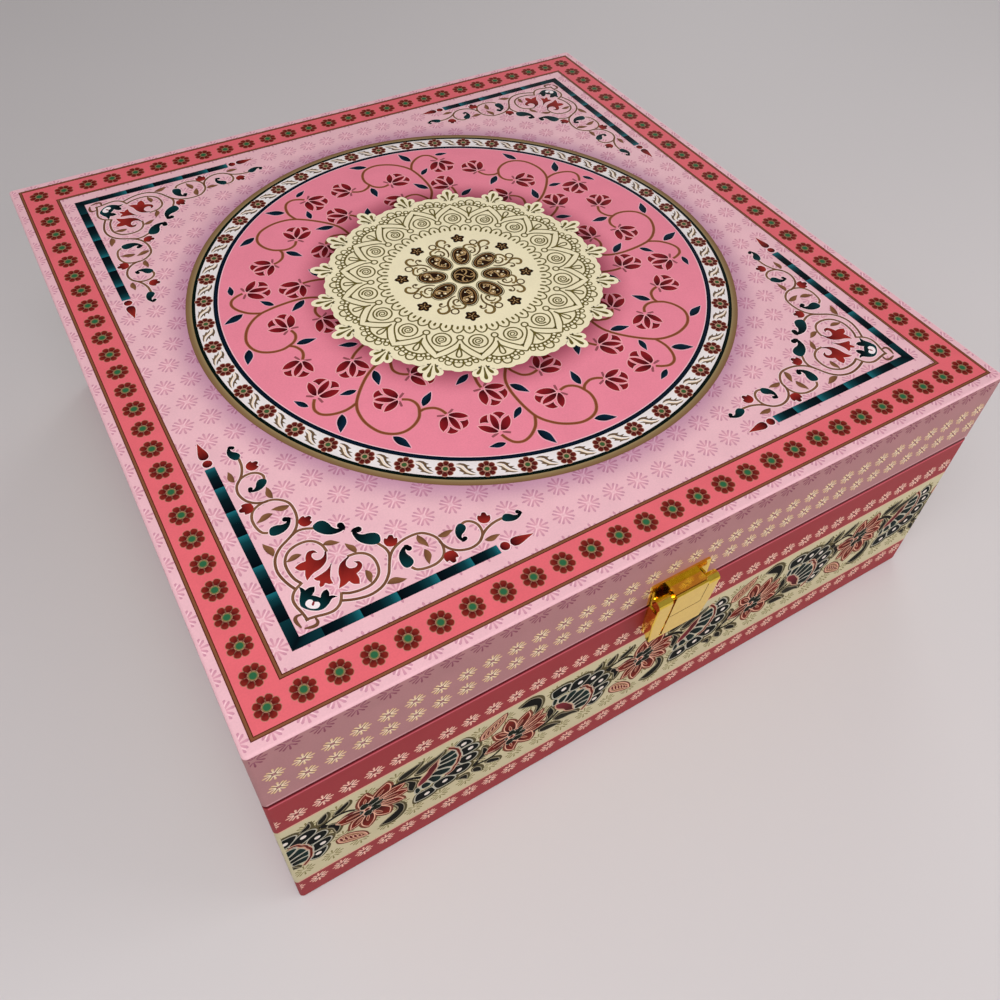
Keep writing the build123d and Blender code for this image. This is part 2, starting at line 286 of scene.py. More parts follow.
def sheetOf(motif, ink):
    return motif.setdefault(ink, {"points": [], "faces": [], "tones": [], "shapes": 0})


def nextRise(sheet):
    sheet["shapes"] += 1
    return sheet["shapes"] % hairSteps * hairGap


def addFace(motif, ink, outline, tones):
    sheet = sheetOf(motif, ink)
    turned = sum(a[0] * b[1] - b[0] * a[1] for a, b in zip(outline, outline[1:] + outline[:1])) < 0
    if turned:
        outline, tones = outline[::-1], tones[::-1]
    start, rise = len(sheet["points"]), nextRise(sheet)
    sheet["points"] += [(p[0], p[1], rise) for p in outline]
    sheet["tones"] += tones
    sheet["faces"].append(tuple(range(start, start + len(outline))))


def smoothLine(points, steps, closed=False):
    # a curve through the points; every number of a point is smoothed, its width too
    count, line = len(points), []
    for i in range(count if closed else count - 1):
        if closed:
            near = [points[(i + k) % count] for k in (-1, 0, 1, 2)]
        else:
            near = [points[min(max(i + k, 0), count - 1)] for k in (-1, 0, 1, 2)]
        if near[1] == near[2]:  # a point given twice is a corner
            continue
        for s in range(steps):
            t = s / steps
            line.append(tuple(
                0.5 * (2 * b + (c - a) * t + (2 * a - 5 * b + 4 * c - d) * t * t
                       + (3 * b - a - 3 * c + d) * t ** 3)
                for a, b, c, d in zip(*near)
            ))
    return line if closed else line + [tuple(points[-1])]


def addShape(motif, ink, *runs, steps=4, tone=1.0, along=None):
    # a filled shape: each run is smooth and the ends of runs are corners; one run is closed smoothly
    if len(runs) == 1:
        outline = smoothLine(runs[0], steps, closed=True)
    else:
        outline = []
        for run in runs:
            outline += smoothLine(run, steps)[:-1]
    if along:
        (ax, ay), (bx, by) = along
        size = (bx - ax) ** 2 + (by - ay) ** 2
        tones = [min(max(((x - ax) * (bx - ax) + (y - ay) * (by - ay)) / size, 0), 1) for x, y in outline]
    else:
        tones = [tone] * len(outline)
    addFace(motif, ink, outline, tones)
    return outline


def addPolygon(motif, ink, outline, tone=1.0):
    addFace(motif, ink, list(outline), [tone] * len(outline))


def addStroke(motif, ink, points, width=0.8, steps=5, tone=(1.0, 1.0), closed=False, smooth=True):
    # a pen stroke; a third number in a point is the width there
    points = [(p[0], p[1], p[2] if len(p) > 2 else width) for p in points]
    line = smoothLine(points, steps, closed) if smooth else points
    sheet = sheetOf(motif, ink)
    start, count, rise = len(sheet["points"]), len(line), nextRise(sheet)
    for i, (x, y, wide) in enumerate(line):
        before = line[i - 1] if closed or i > 0 else line[0]
        after = line[(i + 1) % count] if closed or i < count - 1 else line[-1]
        dx, dy = after[0] - before[0], after[1] - before[1]
        size = math.hypot(dx, dy) or 1.0
        ox, oy = -dy / size * wide / 2, dx / size * wide / 2
        sheet["points"] += [(x + ox, y + oy, rise), (x - ox, y - oy, rise)]
        level = tone[0] + (tone[1] - tone[0]) * i / (count - 1)
        sheet["tones"] += [level, level]
    for i in range(count if closed else count - 1):
        a, b = start + 2 * i, start + 2 * ((i + 1) % count)
        sheet["faces"].append((a, a + 1, b + 1, b))


def polar(angle, radius, centre=(0.0, 0.0)):
    angle = math.radians(angle)
    return (centre[0] + radius * math.cos(angle), centre[1] + radius * math.sin(angle))


def circlePoints(centre, radius, count):
    return [polar(360 / count * i, radius, centre) for i in range(count)]


def addLoop(motif, ink, outline, width, tone=1.0):
    # a line of even width round an outline
    addStroke(motif, ink, outline, width, tone=(tone, tone), closed=True, smooth=False)


def addCell(motif, ink, line, width, *runs, **shape):
    # a filled shape with a line round it
    edge = addShape(motif, ink, *runs, **shape)
    addLoop(motif, line, edge, width)
    return edge


def addDot(motif, ink, centre, radius, count, tone=1.0):
    addPolygon(motif, ink, circlePoints(centre, radius, count), tone)


def addRing(motif, ink, centre, radius, width, count, tone=1.0):
    addLoop(motif, ink, circlePoints(centre, radius, count), width, tone)


def stamp(target, motif, place=(0.0, 0.0), turn=0.0, size=1.0, flip=False, lift=0.0):
    # a copy of the motif, turned in degrees; a flipped one is mirrored left to right first
    c, s = polar(turn, size)
    sign = -1 if flip else 1
    for ink, sheet in motif.items():
        goal = sheetOf(target, ink)
        start = len(goal["points"])
        goal["points"] += [
            (place[0] + c * sign * x - s * y, place[1] + s * sign * x + c * y, rise + lift)
            for x, y, rise in sheet["points"]
        ]
        goal["tones"] += sheet["tones"]
        goal["shapes"] += sheet["shapes"]
        goal["faces"] += [
            tuple(start + i for i in (reversed(face) if flip else face)) for face in sheet["faces"]
        ]


def keepBetween(motif, low, high, axis=0):
    # cuts a motif off at two straight lines
    kept = {}
    for ink, sheet in motif.items():
        for face in sheet["faces"]:
            corners = [(*sheet["points"][i], sheet["tones"][i]) for i in face]
            for limit, side in ((low, 1), (high, -1)):
                cut = []
                for a, b in zip(corners, corners[1:] + corners[:1]):
                    da, db = (a[axis] - limit) * side, (b[axis] - limit) * side
                    if da >= 0:
                        cut.append(a)
                    if da * db < 0:
                        t = da / (da - db)
                        cut.append(tuple(p + (q - p) * t for p, q in zip(a, b)))
                corners = cut
                if len(corners) < 3:
                    break
            if len(corners) > 2:
                goal = sheetOf(kept, ink)
                start = len(goal["points"])
                goal["points"] += [c[:3] for c in corners]
                goal["tones"] += [c[3] for c in corners]
                goal["faces"].append(tuple(range(start, start + len(corners))))
    return kept


def printPiece(name, points, faces, tones, ink, body):
    mesh = bpy.data.meshes.new(name)
    mesh.from_pydata([tuple(c * mm for c in p) for p in points], [], faces)
    mesh.attributes.new("tone", "FLOAT", "POINT").data.foreach_set("value", tones)
    mesh.materials.append(inkMaterial(ink))
    piece = bpy.data.objects.new(name, mesh)
    bpy.context.scene.collection.objects.link(piece)
    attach(piece, body)


def printTop(motif):
    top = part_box("lid_wrap")[1].z / mm
    for ink, sheet in motif.items():
        level = top + inks[ink][0] * layerGap
        points = [(x, y, level + rise) for x, y, rise in sheet["points"]]
        printPiece("lid_top_" + ink, points, sheet["faces"], sheet["tones"], ink, "lid")


def printSides(motif, node, body):
    # the same print on the four sides; x runs to the right as one looks at a side, y is the height
    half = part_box(node)[1].x / mm
    for ink, sheet in motif.items():
        points, faces, tones = [], [], []
        for c, s in quarterTurns:
            start = len(points)
            for x, height, rise in sheet["points"]:
                out = half + inks[ink][0] * layerGap + rise
                points.append((c * x + s * out, s * x - c * out, height))
            faces += [tuple(start + i for i in face) for face in sheet["faces"]]
            tones += sheet["tones"]
        printPiece(body + "_side_" + ink, points, faces, tones, ink, body)


# Sprig: twelve small pen marks and four pale rays, on a half-drop lattice over the paper
sprig = {
    "across": 8.4, "down": 9.1, "first": (-2.3, -104.7), "rows": (-3, 26), "end": 126.0, "bold": 1.25,
    "edge": -120.0, "besideBar": -104.0, "barEnd": 38.0, "shifts": (1.0, -3.2),
}


def sprigMotif(dark, rays=None, size=1.0, bold=1.0):
    motif = {}
    marks = [((0.0, 0.8), (0.0, 3.45), 0.31), ((0.2, 0.8), (1.8, 2.6), 0.32), ((0.8, 0.2), (2.6, 1.8), 0.32)]
    for c, s in quarterTurns:
        for a, b, half in marks:
            a, b = ((p[0] * c - p[1] * s, p[0] * s + p[1] * c) for p in (a, b))
            length = math.hypot(b[0] - a[0], b[1] - a[1])
            ux, uy = (b[0] - a[0]) / length, (b[1] - a[1]) / length
            outline, tones = [], []
            for t, w in ((0, -0.45), (0.5, -0.7), (0.8, -1.0), (1.0, -0.4), (1.0, 0.4), (0.8, 1.0),
                         (0.5, 0.7), (0, 0.45)):
                outline.append((a[0] + ux * t * length - uy * w * half * bold,
                                a[1] + uy * t * length + ux * w * half * bold))
                tones.append(1 - t)
            addFace(motif, dark, outline, tones)
        if rays:
            x, y = (c - s) * 0.5, (s + c) * 0.5
            addPolygon(motif, rays, [
                (x * 0.5 - y * 0.2, y * 0.5 + x * 0.2), (x * 0.5 + y * 0.2, y * 0.5 - x * 0.2),
                (x * 3.9 + y * 0.3, y * 3.9 - x * 0.3), (x * 3.9 - y * 0.3, y * 3.9 + x * 0.3),
            ])
    made = {}
    stamp(made, motif, size=size)
    return made


def drawSprigs(motif):
    one = sprigMotif("sprig", "sprig_rays", bold=sprig["bold"])
    across, end = sprig["across"], sprig["end"]
    for row in range(sprig["rows"][0], sprig["rows"][1] + 1):
        y = sprig["first"][1] + sprig["down"] * row
        x = sprig["first"][0] + across / 2 * (row % 2)
        x -= math.ceil((x + end) / across) * across
        while x < end + across:
            # along the left edge, and left of the corner bars, the sprigs stand in every row
            inColumn = x < sprig["edge"] or (x < sprig["besideBar"] and abs(y) > sprig["barEnd"])
            stamp(motif, one, (x + sprig["shifts"][row % 2] * inColumn, y))
            x += across


# Rosette of eight petals round a green eye
def rosetteMotif(radius, turn, edge, petal, ring, eye):
    motif, scale = {}, radius / 3.35
    shape = [
        (1.0, -0.34), (1.55, -0.68), (2.4, -0.95), (3.0, -0.86), (3.33, -0.4),
        (3.35, 0.4), (3.0, 0.86), (2.4, 0.95), (1.55, 0.68), (1.0, 0.34),
    ]
    shape = [(x * scale, y * scale) for x, y in shape]
    for k in range(8):
        one = {}
        addCell(one, petal, edge, 0.17, shape, steps=2, along=((radius * 0.36, 0), (radius * 0.62, 0)))
        stamp(motif, one, turn=turn + 45 * k)
    for ink, share in ((edge, 0.42), (ring, 0.355), (eye, 0.27)):
        addDot(motif, ink, (0, 0), radius * share, 14)
    return motif


# Border: two brown lines with a coral band between them, 27 rosettes on a side; all in mm from the middle
border = {
    "outer": 123.95, "coralOuter": 122.85, "coralInner": 112.7, "inner": 111.55, "under": 0.1, "core": 0.3,
    "row": 117.7, "count": 27, "rosette": 3.4, "turn": 15,
}


def squareRing(motif, ink, outer, inner, tone=1.0):
    corners = [(-1, -1), (1, -1), (1, 1), (-1, 1)]
    for a, b in zip(corners, corners[1:] + corners[:1]):
        outline = [(c[0] * out, c[1] * out) for c, out in ((a, outer), (b, outer), (b, inner), (a, inner))]
        addPolygon(motif, ink, outline, tone)


def drawBorder(motif):
    under = border["under"]
    squareRing(motif, "coral", border["coralOuter"] + under, border["coralInner"] - under, 0.5)
    for outer, inner in ((border["outer"], border["coralOuter"]), (border["coralInner"], border["inner"])):
        squareRing(motif, "line", outer, inner, 0.3)
        middle = (outer + inner) / 2
        squareRing(motif, "line_gold", middle + border["core"], middle - border["core"])
    rosette = rosetteMotif(border["rosette"], border["turn"], "rosette_edge", "rosette_petal", "rosette_ring",
                           "rosette_eye")
    row, gaps = border["row"], border["count"] - 1
    for k in range(gaps):
        along = -row + k * 2 * row / gaps
        for place in ((along, -row), (row, along), (-along, row), (-row, -along)):
            stamp(motif, rosette, place)


# Corner piece, drawn once as the half below the diagonal, in mm from the box's middle; the angle bar has a
# short arm along the front and the back, and a long one along the sides
corner = {
    "vine": 0.8, "barOuter": 107.25, "barInner": 104.3,
    "shortArm": (98.7, 88.3, 78.0, 66.7, 56.6, 48.6), "longArm": (98.4, 89.4, 80.0, 68.9, 59.8, 50.3, 42.2),
}


def leafMotif(ink, bend, halo=None):
    motif = {}
    upper = [(-0.02, 0), (0.18, 0.15 + bend), (0.5, 0.2 + bend), (0.82, 0.08), (1.04, -0.03)]
    lower = [(1.04, -0.03), (0.78, -0.13), (0.46, -0.2 + bend), (0.16, -0.13 + bend), (-0.02, 0)]
    addShape(motif, ink, upper, lower, along=((0.4, -0.25), (0.5, 0.12)))
    if halo:
        edge = smoothLine(upper, 3)[:-1] + smoothLine(lower, 3)[:-1]
        addLoop(motif, halo, edge, 0.09)
    return motif


def placeLeaf(target, leaf, base, tip, flip=False):
    # a flipped leaf is mirrored over its own long way
    dx, dy = tip[0] - base[0], tip[1] - base[1]
    stamp(target, leaf, base, math.degrees(math.atan2(dy, dx)) + 180 * flip, math.hypot(dx, dy), flip)


def paisleyMotif():
    motif = {}
    body = [(-1.09, -0.04), (-1.06, 0.49), (-0.45, 1.0), (0.22, 1.0), (0.85, 0.49), (1.26, -0.11),
            (1.80, -0.43), (2.2, -0.34), (2.5, -0.2), (2.72, -0.3), (2.62, -0.7), (2.25, -0.97),
            (1.31, -1.25), (0.29, -1.12), (-0.63, -0.61)]
    addCell(motif, "teal", "halo", 0.28, body, steps=3, along=((2.0, -0.4), (-0.9, 0.6)))
    addDot(motif, "teal", (2.28, 0.02), 0.46, 14, 0.0)
    addStroke(motif, "teal", [(2.6, -0.75, 0.3), (2.74, -0.35, 0.3), (2.6, 0.0, 0.3)], steps=3, tone=(0, 0))
    addRing(motif, "halo", (2.28, 0.02), 0.46, 0.26, 14)
    return motif


def budMotif():
    motif = {}
    body = [(0, -1.75), (1.1, -1.4), (1.75, -0.3), (1.6, 0.95), (0.9, 0.85), (0.55, 1.75), (0, 1.95),
            (-0.55, 1.75), (-0.9, 0.85), (-1.6, 0.95), (-1.75, -0.3), (-1.1, -1.4)]
    addCell(motif, "red", "halo", 0.5, body, steps=3, along=((0, 2.0), (0, -1.2)))
    return motif


def cornerHalf():
    half = {}
    vines = [
        [(-101.25, -100.9), (-100.4, -100.8), (-98.4, -101.1), (-96.0, -101.65), (-93.9, -101.7),
         (-92.2, -100.9), (-91.1, -99.6), (-90.2, -97.7)],
        [(-91.1, -100.0), (-88.2, -101.2), (-84.8, -101.95), (-81.9, -101.7), (-79.4, -100.6), (-77.3, -98.5),
         (-75.7, -95.6), (-74.4, -93.6), (-72.75, -92.1), (-70.25, -91.0), (-67.3, -90.6), (-64.4, -91.0),
         (-62.3, -92.7), (-61.1, -95.0), (-61.1, -97.9), (-62.3, -100.4), (-64.8, -101.7), (-67.75, -101.75),
         (-70.25, -101.0), (-71.3, -99.6)],
        [(-75.5, -95.2), (-74.5, -93.0), (-74.6, -91.0), (-75.25, -89.4), (-75.9, -88.0)],
        [(-61.1, -95.8), (-60.8, -97.4), (-59.8, -99.4), (-57.75, -101.1), (-54.8, -101.9), (-51.9, -101.25),
         (-49.9, -99.3), (-49.4, -96.7), (-50.25, -94.6), (-51.9, -93.6), (-53.6, -93.9)],
        [(-51.5, -101.0), (-49.8, -99.5), (-48.0, -98.4), (-45.5, -97.6), (-42.6, -97.4)],
        [(-90.2, -98.0), (-88.2, -99.0), (-85.25, -99.5), (-82.3, -99.2), (-79.8, -97.5), (-78.7, -95.0),
         (-78.7, -92.1), (-79.8, -90.0), (-81.9, -88.7), (-84.4, -88.4)],
    ]
    for vine in vines:
        addStroke(half, "vine", vine, corner["vine"], tone=(0.2, 0.9))
        addStroke(half, "halo", vine, corner["vine"] + 0.45)
    leaf = leafMotif("vine_leaf", 0.05)
    leaves = [((-79.0, -101.1), (-74.0, -102.0), False), ((-60.75, -94.2), (-56.25, -94.5), True),
              ((-50.4, -101.4), (-46.0, -101.9), True), ((-65.3, -91.2), (-64.6, -96.0), True),
              ((-65.8, -96.2), (-66.6, -101.0), False), ((-82.1, -94.6), (-82.2, -98.9), False),
              ((-81.9, -88.5), (-83.1, -84.3), True)]
    for base, tip, flip in leaves:
        placeLeaf(half, leaf, base, tip, flip)
    paisley = paisleyMotif()
    for place, size, turn, flip in (((-76.5, -86.4), 2.15, 112, True), ((-71.6, -97.3), 1.8, 55, True),
                                    ((-54.3, -95.0), 1.5, 262, False), ((-41.2, -98.1), 1.48, 8, False)):
        stamp(half, paisley, place, turn + 180 * flip, size, flip)
    bud = budMotif()
    for place, turn, size in (((-72.4, -89.5), -25, 1.04), ((-60.8, -101.7), 180, 1.08),
                              ((-47.0, -95.0), -25, 1.02)):
        stamp(half, bud, place, turn, size)
    # red leaf of the split palmette
    upper = [(-84.0, -88.4), (-86.9, -89.6), (-88.4, -91.8), (-89.0, -94.2), (-90.3, -96.4)]
    foot = [(-90.3, -96.4), (-88.6, -96.2), (-87.1, -95.6)]
    tipOut = [(-87.1, -95.6), (-86.5, -96.9), (-85.1, -97.7)]
    tipIn = [(-85.1, -97.7), (-84.5, -96.2), (-84.5, -94.4)]
    back = [(-84.5, -94.4), (-83.2, -93.9), (-82.1, -92.8), (-82.3, -91.3), (-83.6, -90.7)]
    hook = [(-83.6, -90.7), (-83.1, -91.8), (-83.9, -92.5), (-85.3, -92.1), (-85.8, -90.9), (-85.2, -89.6),
            (-84.0, -88.9)]
    addCell(half, "red", "halo", 0.5, upper, foot, tipOut, tipIn, back, hook,
            along=((-84.5, -88.6), (-86.6, -94.0)))
    addStroke(half, "vine",
              [(-98.8, -101.4, 0.5), (-98.7, -102.6, 0.8), (-99.3, -103.3, 1.0), (-100.4, -103.35, 0.95),
               (-101.4, -103.1, 0.7), (-102.3, -102.85, 0.4)], tone=(0.1, 0.5))
    return half


def barArm(stops):
    # one arm of the angle bar, in segments that run from dark to teal, then a dot and a flame
    arm = {}
    low, high, end = -corner["barOuter"], -corner["barInner"], -stops[-1]
    addFace(arm, "bar", [(low, low), (-stops[0], low), (-stops[0], high), (high, high)],
            [0.02, 0.22, 0.22, 0.02])
    run = ((0.0, 0.0), (0.5, 0.06), (0.78, 0.3), (0.93, 0.75), (1.0, 1.0))
    for a, b in zip(stops, stops[1:]):
        for (t, toneA), (u, toneB) in zip(run, run[1:]):
            left, right = -a + (a - b) * t, -a + (a - b) * u
            addFace(arm, "bar", [(left, low), (right, low), (right, high), (left, high)],
                    [toneA, toneB, toneB, toneA])
    dot = (end + 1.9, -105.75)
    addShape(arm, "red", circlePoints(dot, 1.4, 18), steps=1,
             along=((end + 0.9, -106.2), (end + 3.2, -105.2)))
    addRing(arm, "halo", dot, 1.5, 0.35, 18)
    flame = [(3.6, -105.8), (4.1, -104.7), (5.3, -104.35), (6.8, -104.6), (8.6, -105.2), (10.9, -105.9),
             (10.9, -105.9), (8.6, -106.5), (6.8, -107.0), (5.3, -107.25), (4.1, -106.9)]
    flame = [(end + x, y) for x, y in flame]
    addCell(arm, "red", "halo", 0.4, flame[:6], flame[6:] + flame[:1], steps=3,
            along=((end + 4.2, -105.8), (end + 8.1, -105.8)))
    return arm


def drawCorners(motif):
    half = cornerHalf()
    whole = {}
    stamp(whole, half)
    stamp(whole, barArm(corner["shortArm"]))
    for part in (half, barArm(corner["longArm"])):
        stamp(whole, part, turn=-90, flip=True, lift=hairGap / 2)  # mirrored in the diagonal
    palmette = [(-88.8, -88.3), (-88.8, -88.3), (-91.0, -89.8), (-94.7, -90.5), (-94.7, -90.5),
                (-94.3, -91.4), (-93.6, -92.0), (-94.2, -93.0), (-94.2, -93.8), (-94.2, -93.8),
                (-93.3, -93.7), (-92.6, -93.2), (-92.0, -93.9), (-90.9, -94.3), (-90.9, -94.3),
                (-90.9, -92.6), (-90.3, -91.0), (-89.5, -89.5)]
    addCell(whole, "red", "halo", 0.5, palmette, steps=3, along=((-88.6, -88.6), (-92.0, -92.0)))
    tulip = [(-98.9, -90.9), (-98.9, -90.9), (-98.2, -91.9), (-97.9, -92.7), (-97.9, -92.7), (-96.7, -92.4),
             (-95.4, -92.8), (-95.4, -92.8), (-96.0, -94.1), (-97.1, -94.9), (-97.1, -94.9), (-96.3, -95.5),
             (-95.4, -96.6), (-95.4, -96.6), (-94.8, -95.7), (-93.9, -95.1), (-93.0, -95.1), (-93.0, -95.1),
             (-92.9, -96.3), (-93.3, -97.2), (-93.3, -97.2), (-92.4, -97.5), (-91.5, -98.4), (-91.5, -98.4),
             (-93.0, -98.3), (-94.2, -99.2), (-95.8, -99.95), (-97.4, -99.8), (-98.9, -98.9), (-100.1, -97.6),
             (-100.7, -96.3), (-100.2, -94.5), (-99.2, -92.7)]
    addCell(whole, "teal", "halo", 0.55, tulip, steps=3, along=((-95.0, -95.4), (-98.6, -98.2)))
    heart = [(-99.5, -96.6), (-99.0, -95.9), (-98.2, -95.7), (-97.5, -96.2), (-97.5, -96.9), (-97.5, -96.9),
             (-97.0, -97.1), (-96.3, -97.6), (-96.3, -98.4), (-97.0, -99.0), (-97.9, -98.9), (-98.9, -98.2),
             (-99.4, -97.4)]
    addShape(whole, "white", heart, steps=3)
    addShape(whole, "heart_stem", [(-98.2, -97.5), (-97.6, -96.8), (-97.1, -96.9), (-97.8, -97.9)], steps=2)
    for turn, flip in ((0, False), (0, True), (180, False), (180, True)):
        stamp(motif, whole, turn=turn, flip=flip)


# Disc: rings from the outside in, with their radii in mm, then vines in eight repeats
disc = {
    "rings": {
        "disc_rim": (94.5, 92.4, (0.0, 0.35, 1.0)), "disc_dark": (92.5, 91.35), "disc_white": (91.4, 85.3),
        "disc_navy": (85.5, 84.05), "disc_pale": (84.1, 83.75),
    },
    "field": 83.9, "rosettes": 47, "first": 267.95, "rosette": 2.92, "row": 88.55,
    "vines": {"disc_vine": 1.12, "disc_vine_core": 0.8}, "repeats": 8,
}
ringSteps = 180


def flatRing(motif, ink, outer, inner, tones=(0.0, 1.0, 0.0)):
    sheet = sheetOf(motif, ink)
    start, rise = len(sheet["points"]), nextRise(sheet)
    middle = (outer + inner) / 2
    for radius, tone in zip((outer, middle, inner), tones):
        sheet["points"] += [(*p, rise) for p in circlePoints((0, 0), radius, ringSteps)]
        sheet["tones"] += [tone] * ringSteps
    for first in (start, start + ringSteps):
        for k in range(ringSteps):
            a, b = first + k, first + (k + 1) % ringSteps
            sheet["faces"].append((a, b, b + ringSteps, a + ringSteps))


def lotusMotif():
    motif = {}
    petals = [
        [(-4.5, 4.8), (-4.5, 4.8), (-4.2, 2.9), (-2.9, 1.0), (-1.0, 0.0), (0.0, 0.3), (0.0, 0.3), (-0.7, 2.0),
         (-1.7, 3.4), (-3.0, 4.3)],
        [(0.1, 0.4), (0.1, 0.4), (-0.75, 2.3), (-0.6, 4.2), (0.1, 6.0), (0.9, 7.3), (0.9, 7.3), (1.65, 5.8),
         (1.7, 4.0), (1.1, 2.0)],
        [(0.3, 0.3), (0.3, 0.3), (1.6, 2.5), (3.2, 3.9), (5.4, 4.4), (5.4, 4.4), (5.0, 2.4), (3.6, 0.6),
         (1.8, -0.2)],
        [(-3.5, 5.1), (-3.5, 5.1), (-2.7, 6.6), (-1.3, 7.3), (0.4, 7.3), (0.4, 7.3), (-0.5, 5.9),
         (-1.05, 4.1), (-1.05, 4.1), (-2.2, 4.9)],
        [(1.5, 7.1), (1.5, 7.1), (3.0, 7.1), (4.3, 6.3), (4.8, 5.1), (4.8, 5.1), (3.5, 4.7), (2.3, 3.8),
         (2.3, 3.8), (2.15, 5.4)],
    ]
    shades = (((0.0, 1.0), (-2.4, 3.2)), ((0.1, 0.8), (0.6, 4.6)), ((0.3, 0.8), (3.2, 2.6)),
              ((-1.4, 4.0), (-1.6, 6.6)), ((2.4, 3.8), (3.2, 6.2)))
    for petal, along in zip(petals, shades):
        addCell(motif, "lotus", "lotus_halo", 0.28, petal, along=along)
    for points in ([(-0.6, -0.2, 0.4), (-1.4, -0.35, 0.8), (-2.9, -0.7, 0.7)],
                   [(0.6, -0.4, 0.4), (1.4, -0.9, 0.8), (2.5, -1.7, 0.7)]):
        addStroke(motif, "lotus_sepal", points, steps=3)
    return motif


def drawDisc(motif):
    for ink, ring in disc["rings"].items():
        flatRing(motif, ink, *ring)
    addDot(motif, "disc_field", (0, 0), disc["field"], ringSteps, 0.5)
    pitch = 360 / disc["rosettes"]
    rosette = rosetteMotif(disc["rosette"], 90, "band_edge", "band_petal", "rosette_ring", "band_eye")
    pair = {}
    addPolygon(pair, "band_leaf",
               [(-2.9, 2.0), (-1.5, 2.2), (-0.2, 1.85), (1.05, 1.8), (0.6, 1.35), (1.3, 0.95), (2.05, 0.55),
                (1.6, 0.15), (2.2, -0.45), (3.0, -1.05), (1.6, -0.65), (0.7, 0.35), (-0.2, 1.25),
                (-1.5, 1.75)], 0.6)
    addPolygon(pair, "band_leaf",
               [(-2.9, 1.45), (-1.8, 1.2), (-0.7, 0.55), (0.1, -0.35), (0.7, -1.25), (1.6, -1.7),
                (3.1, -1.95), (1.8, -2.35), (0.6, -2.15), (-0.2, -1.65), (-1.05, -1.45), (-0.3, -1.05),
                (-0.6, -0.35), (-2.15, -0.15), (-1.2, 0.25), (-1.9, 0.75)], 0.3)
    addStroke(pair, "band_vein",
              [(-2.6, 1.8, 0.3), (-1.0, 1.5, 0.6), (0.6, 0.2, 0.8), (1.4, -1.2, 0.6), (2.9, -1.6, 0.3)],
              steps=3)
    for k in range(disc["rosettes"]):
        angle = disc["first"] + pitch * k
        stamp(motif, rosette, polar(angle, disc["row"]), angle - 90)
        angle += pitch / 2
        stamp(motif, pair, polar(angle, disc["row"]), angle - 90)
    # one repeat of the vines: points are an angle in degrees and a radius in mm
    vines = [
        [(256.9, 47.5), (255.4, 50.5), (254.6, 53.2), (254.5, 56.0), (255.1, 60.0), (256.4, 65.0),
         (257.7, 69.0), (258.6, 71.1), (260.2, 73.5), (262.6, 75.9), (265.2, 77.5), (267.8, 78.3),
         (270.4, 77.8), (272.5, 76.1), (274.0, 73.1), (274.6, 69.8), (274.2, 67.1), (273.5, 65.2),
         (272.2, 63.8), (270.4, 63.2), (268.4, 63.7)],
        [(258.3, 70.2), (257.8, 72.8), (257.0, 75.2), (255.3, 78.0), (253.4, 79.6), (251.5, 79.4),
         (250.1, 77.8), (249.1, 75.9)],
        [(274.3, 67.2), (275.2, 66.0), (276.5, 65.3), (278.0, 65.0), (279.7, 65.6), (281.2, 67.0)],
        [(257.0, 47.6), (257.6, 49.4), (258.6, 50.8), (260.6, 52.8), (262.8, 53.5), (264.9, 53.3),
         (266.6, 52.7)],
        [(246.1, 55.8), (245.1, 53.5), (244.3, 50.5), (243.9, 47.5)],
    ]
    lotuses = [((267.6, 64.1), 27, 1.05), ((248.9, 74.7), -69, 1.08), ((281.4, 67.5), 137, 1.02),
               ((246.7, 56.1), 142, 1.08), ((267.1, 52.6), 206, 1.04)]
    leaves = [((270.5, 78.9), (274.9, 81.6)), ((257.3, 76.5), (259.9, 82.6)), ((249.6, 79.4), (246.1, 80.5)),
              ((255.7, 65.9), (253.2, 70.2)), ((255.4, 55.9), (260.1, 60.4)), ((274.7, 64.8), (275.5, 58.5)),
              ((287.0, 49.6), (283.3, 54.5))]
    one = {}
    for vine in vines:
        for ink, width in disc["vines"].items():
            addStroke(one, ink, [polar(*p) for p in vine], width, tone=(0.4, 0.7))
    lotus = lotusMotif()
    for (angle, radius), turn, size in lotuses:
        # a turn counts from the way that runs clockwise along the ring
        stamp(one, lotus, polar(angle, radius), (angle - 90) + (turn - 90), size)
    leaf = leafMotif("disc_leaf", 0.0, "leaf_halo")
    for base, tip in leaves:
        placeLeaf(one, leaf, polar(*base), polar(*tip))
    for k in range(disc["repeats"]):
        stamp(motif, one, turn=360 / disc["repeats"] * k)


# Medallion, printed flat: eighteen pointed arches round rings of loops, stars, ovals and scrolls; in mm
medallion = {
    "first": 88.4, "count": 18, "missing": 9, "line": 0.55, "loops": 45, "firstLoop": 178.2, "stars": 21.8,
    "ovals": 11.2, "starTurns": (90, 0, 180, 90, 270, 180, 0, 270),
}


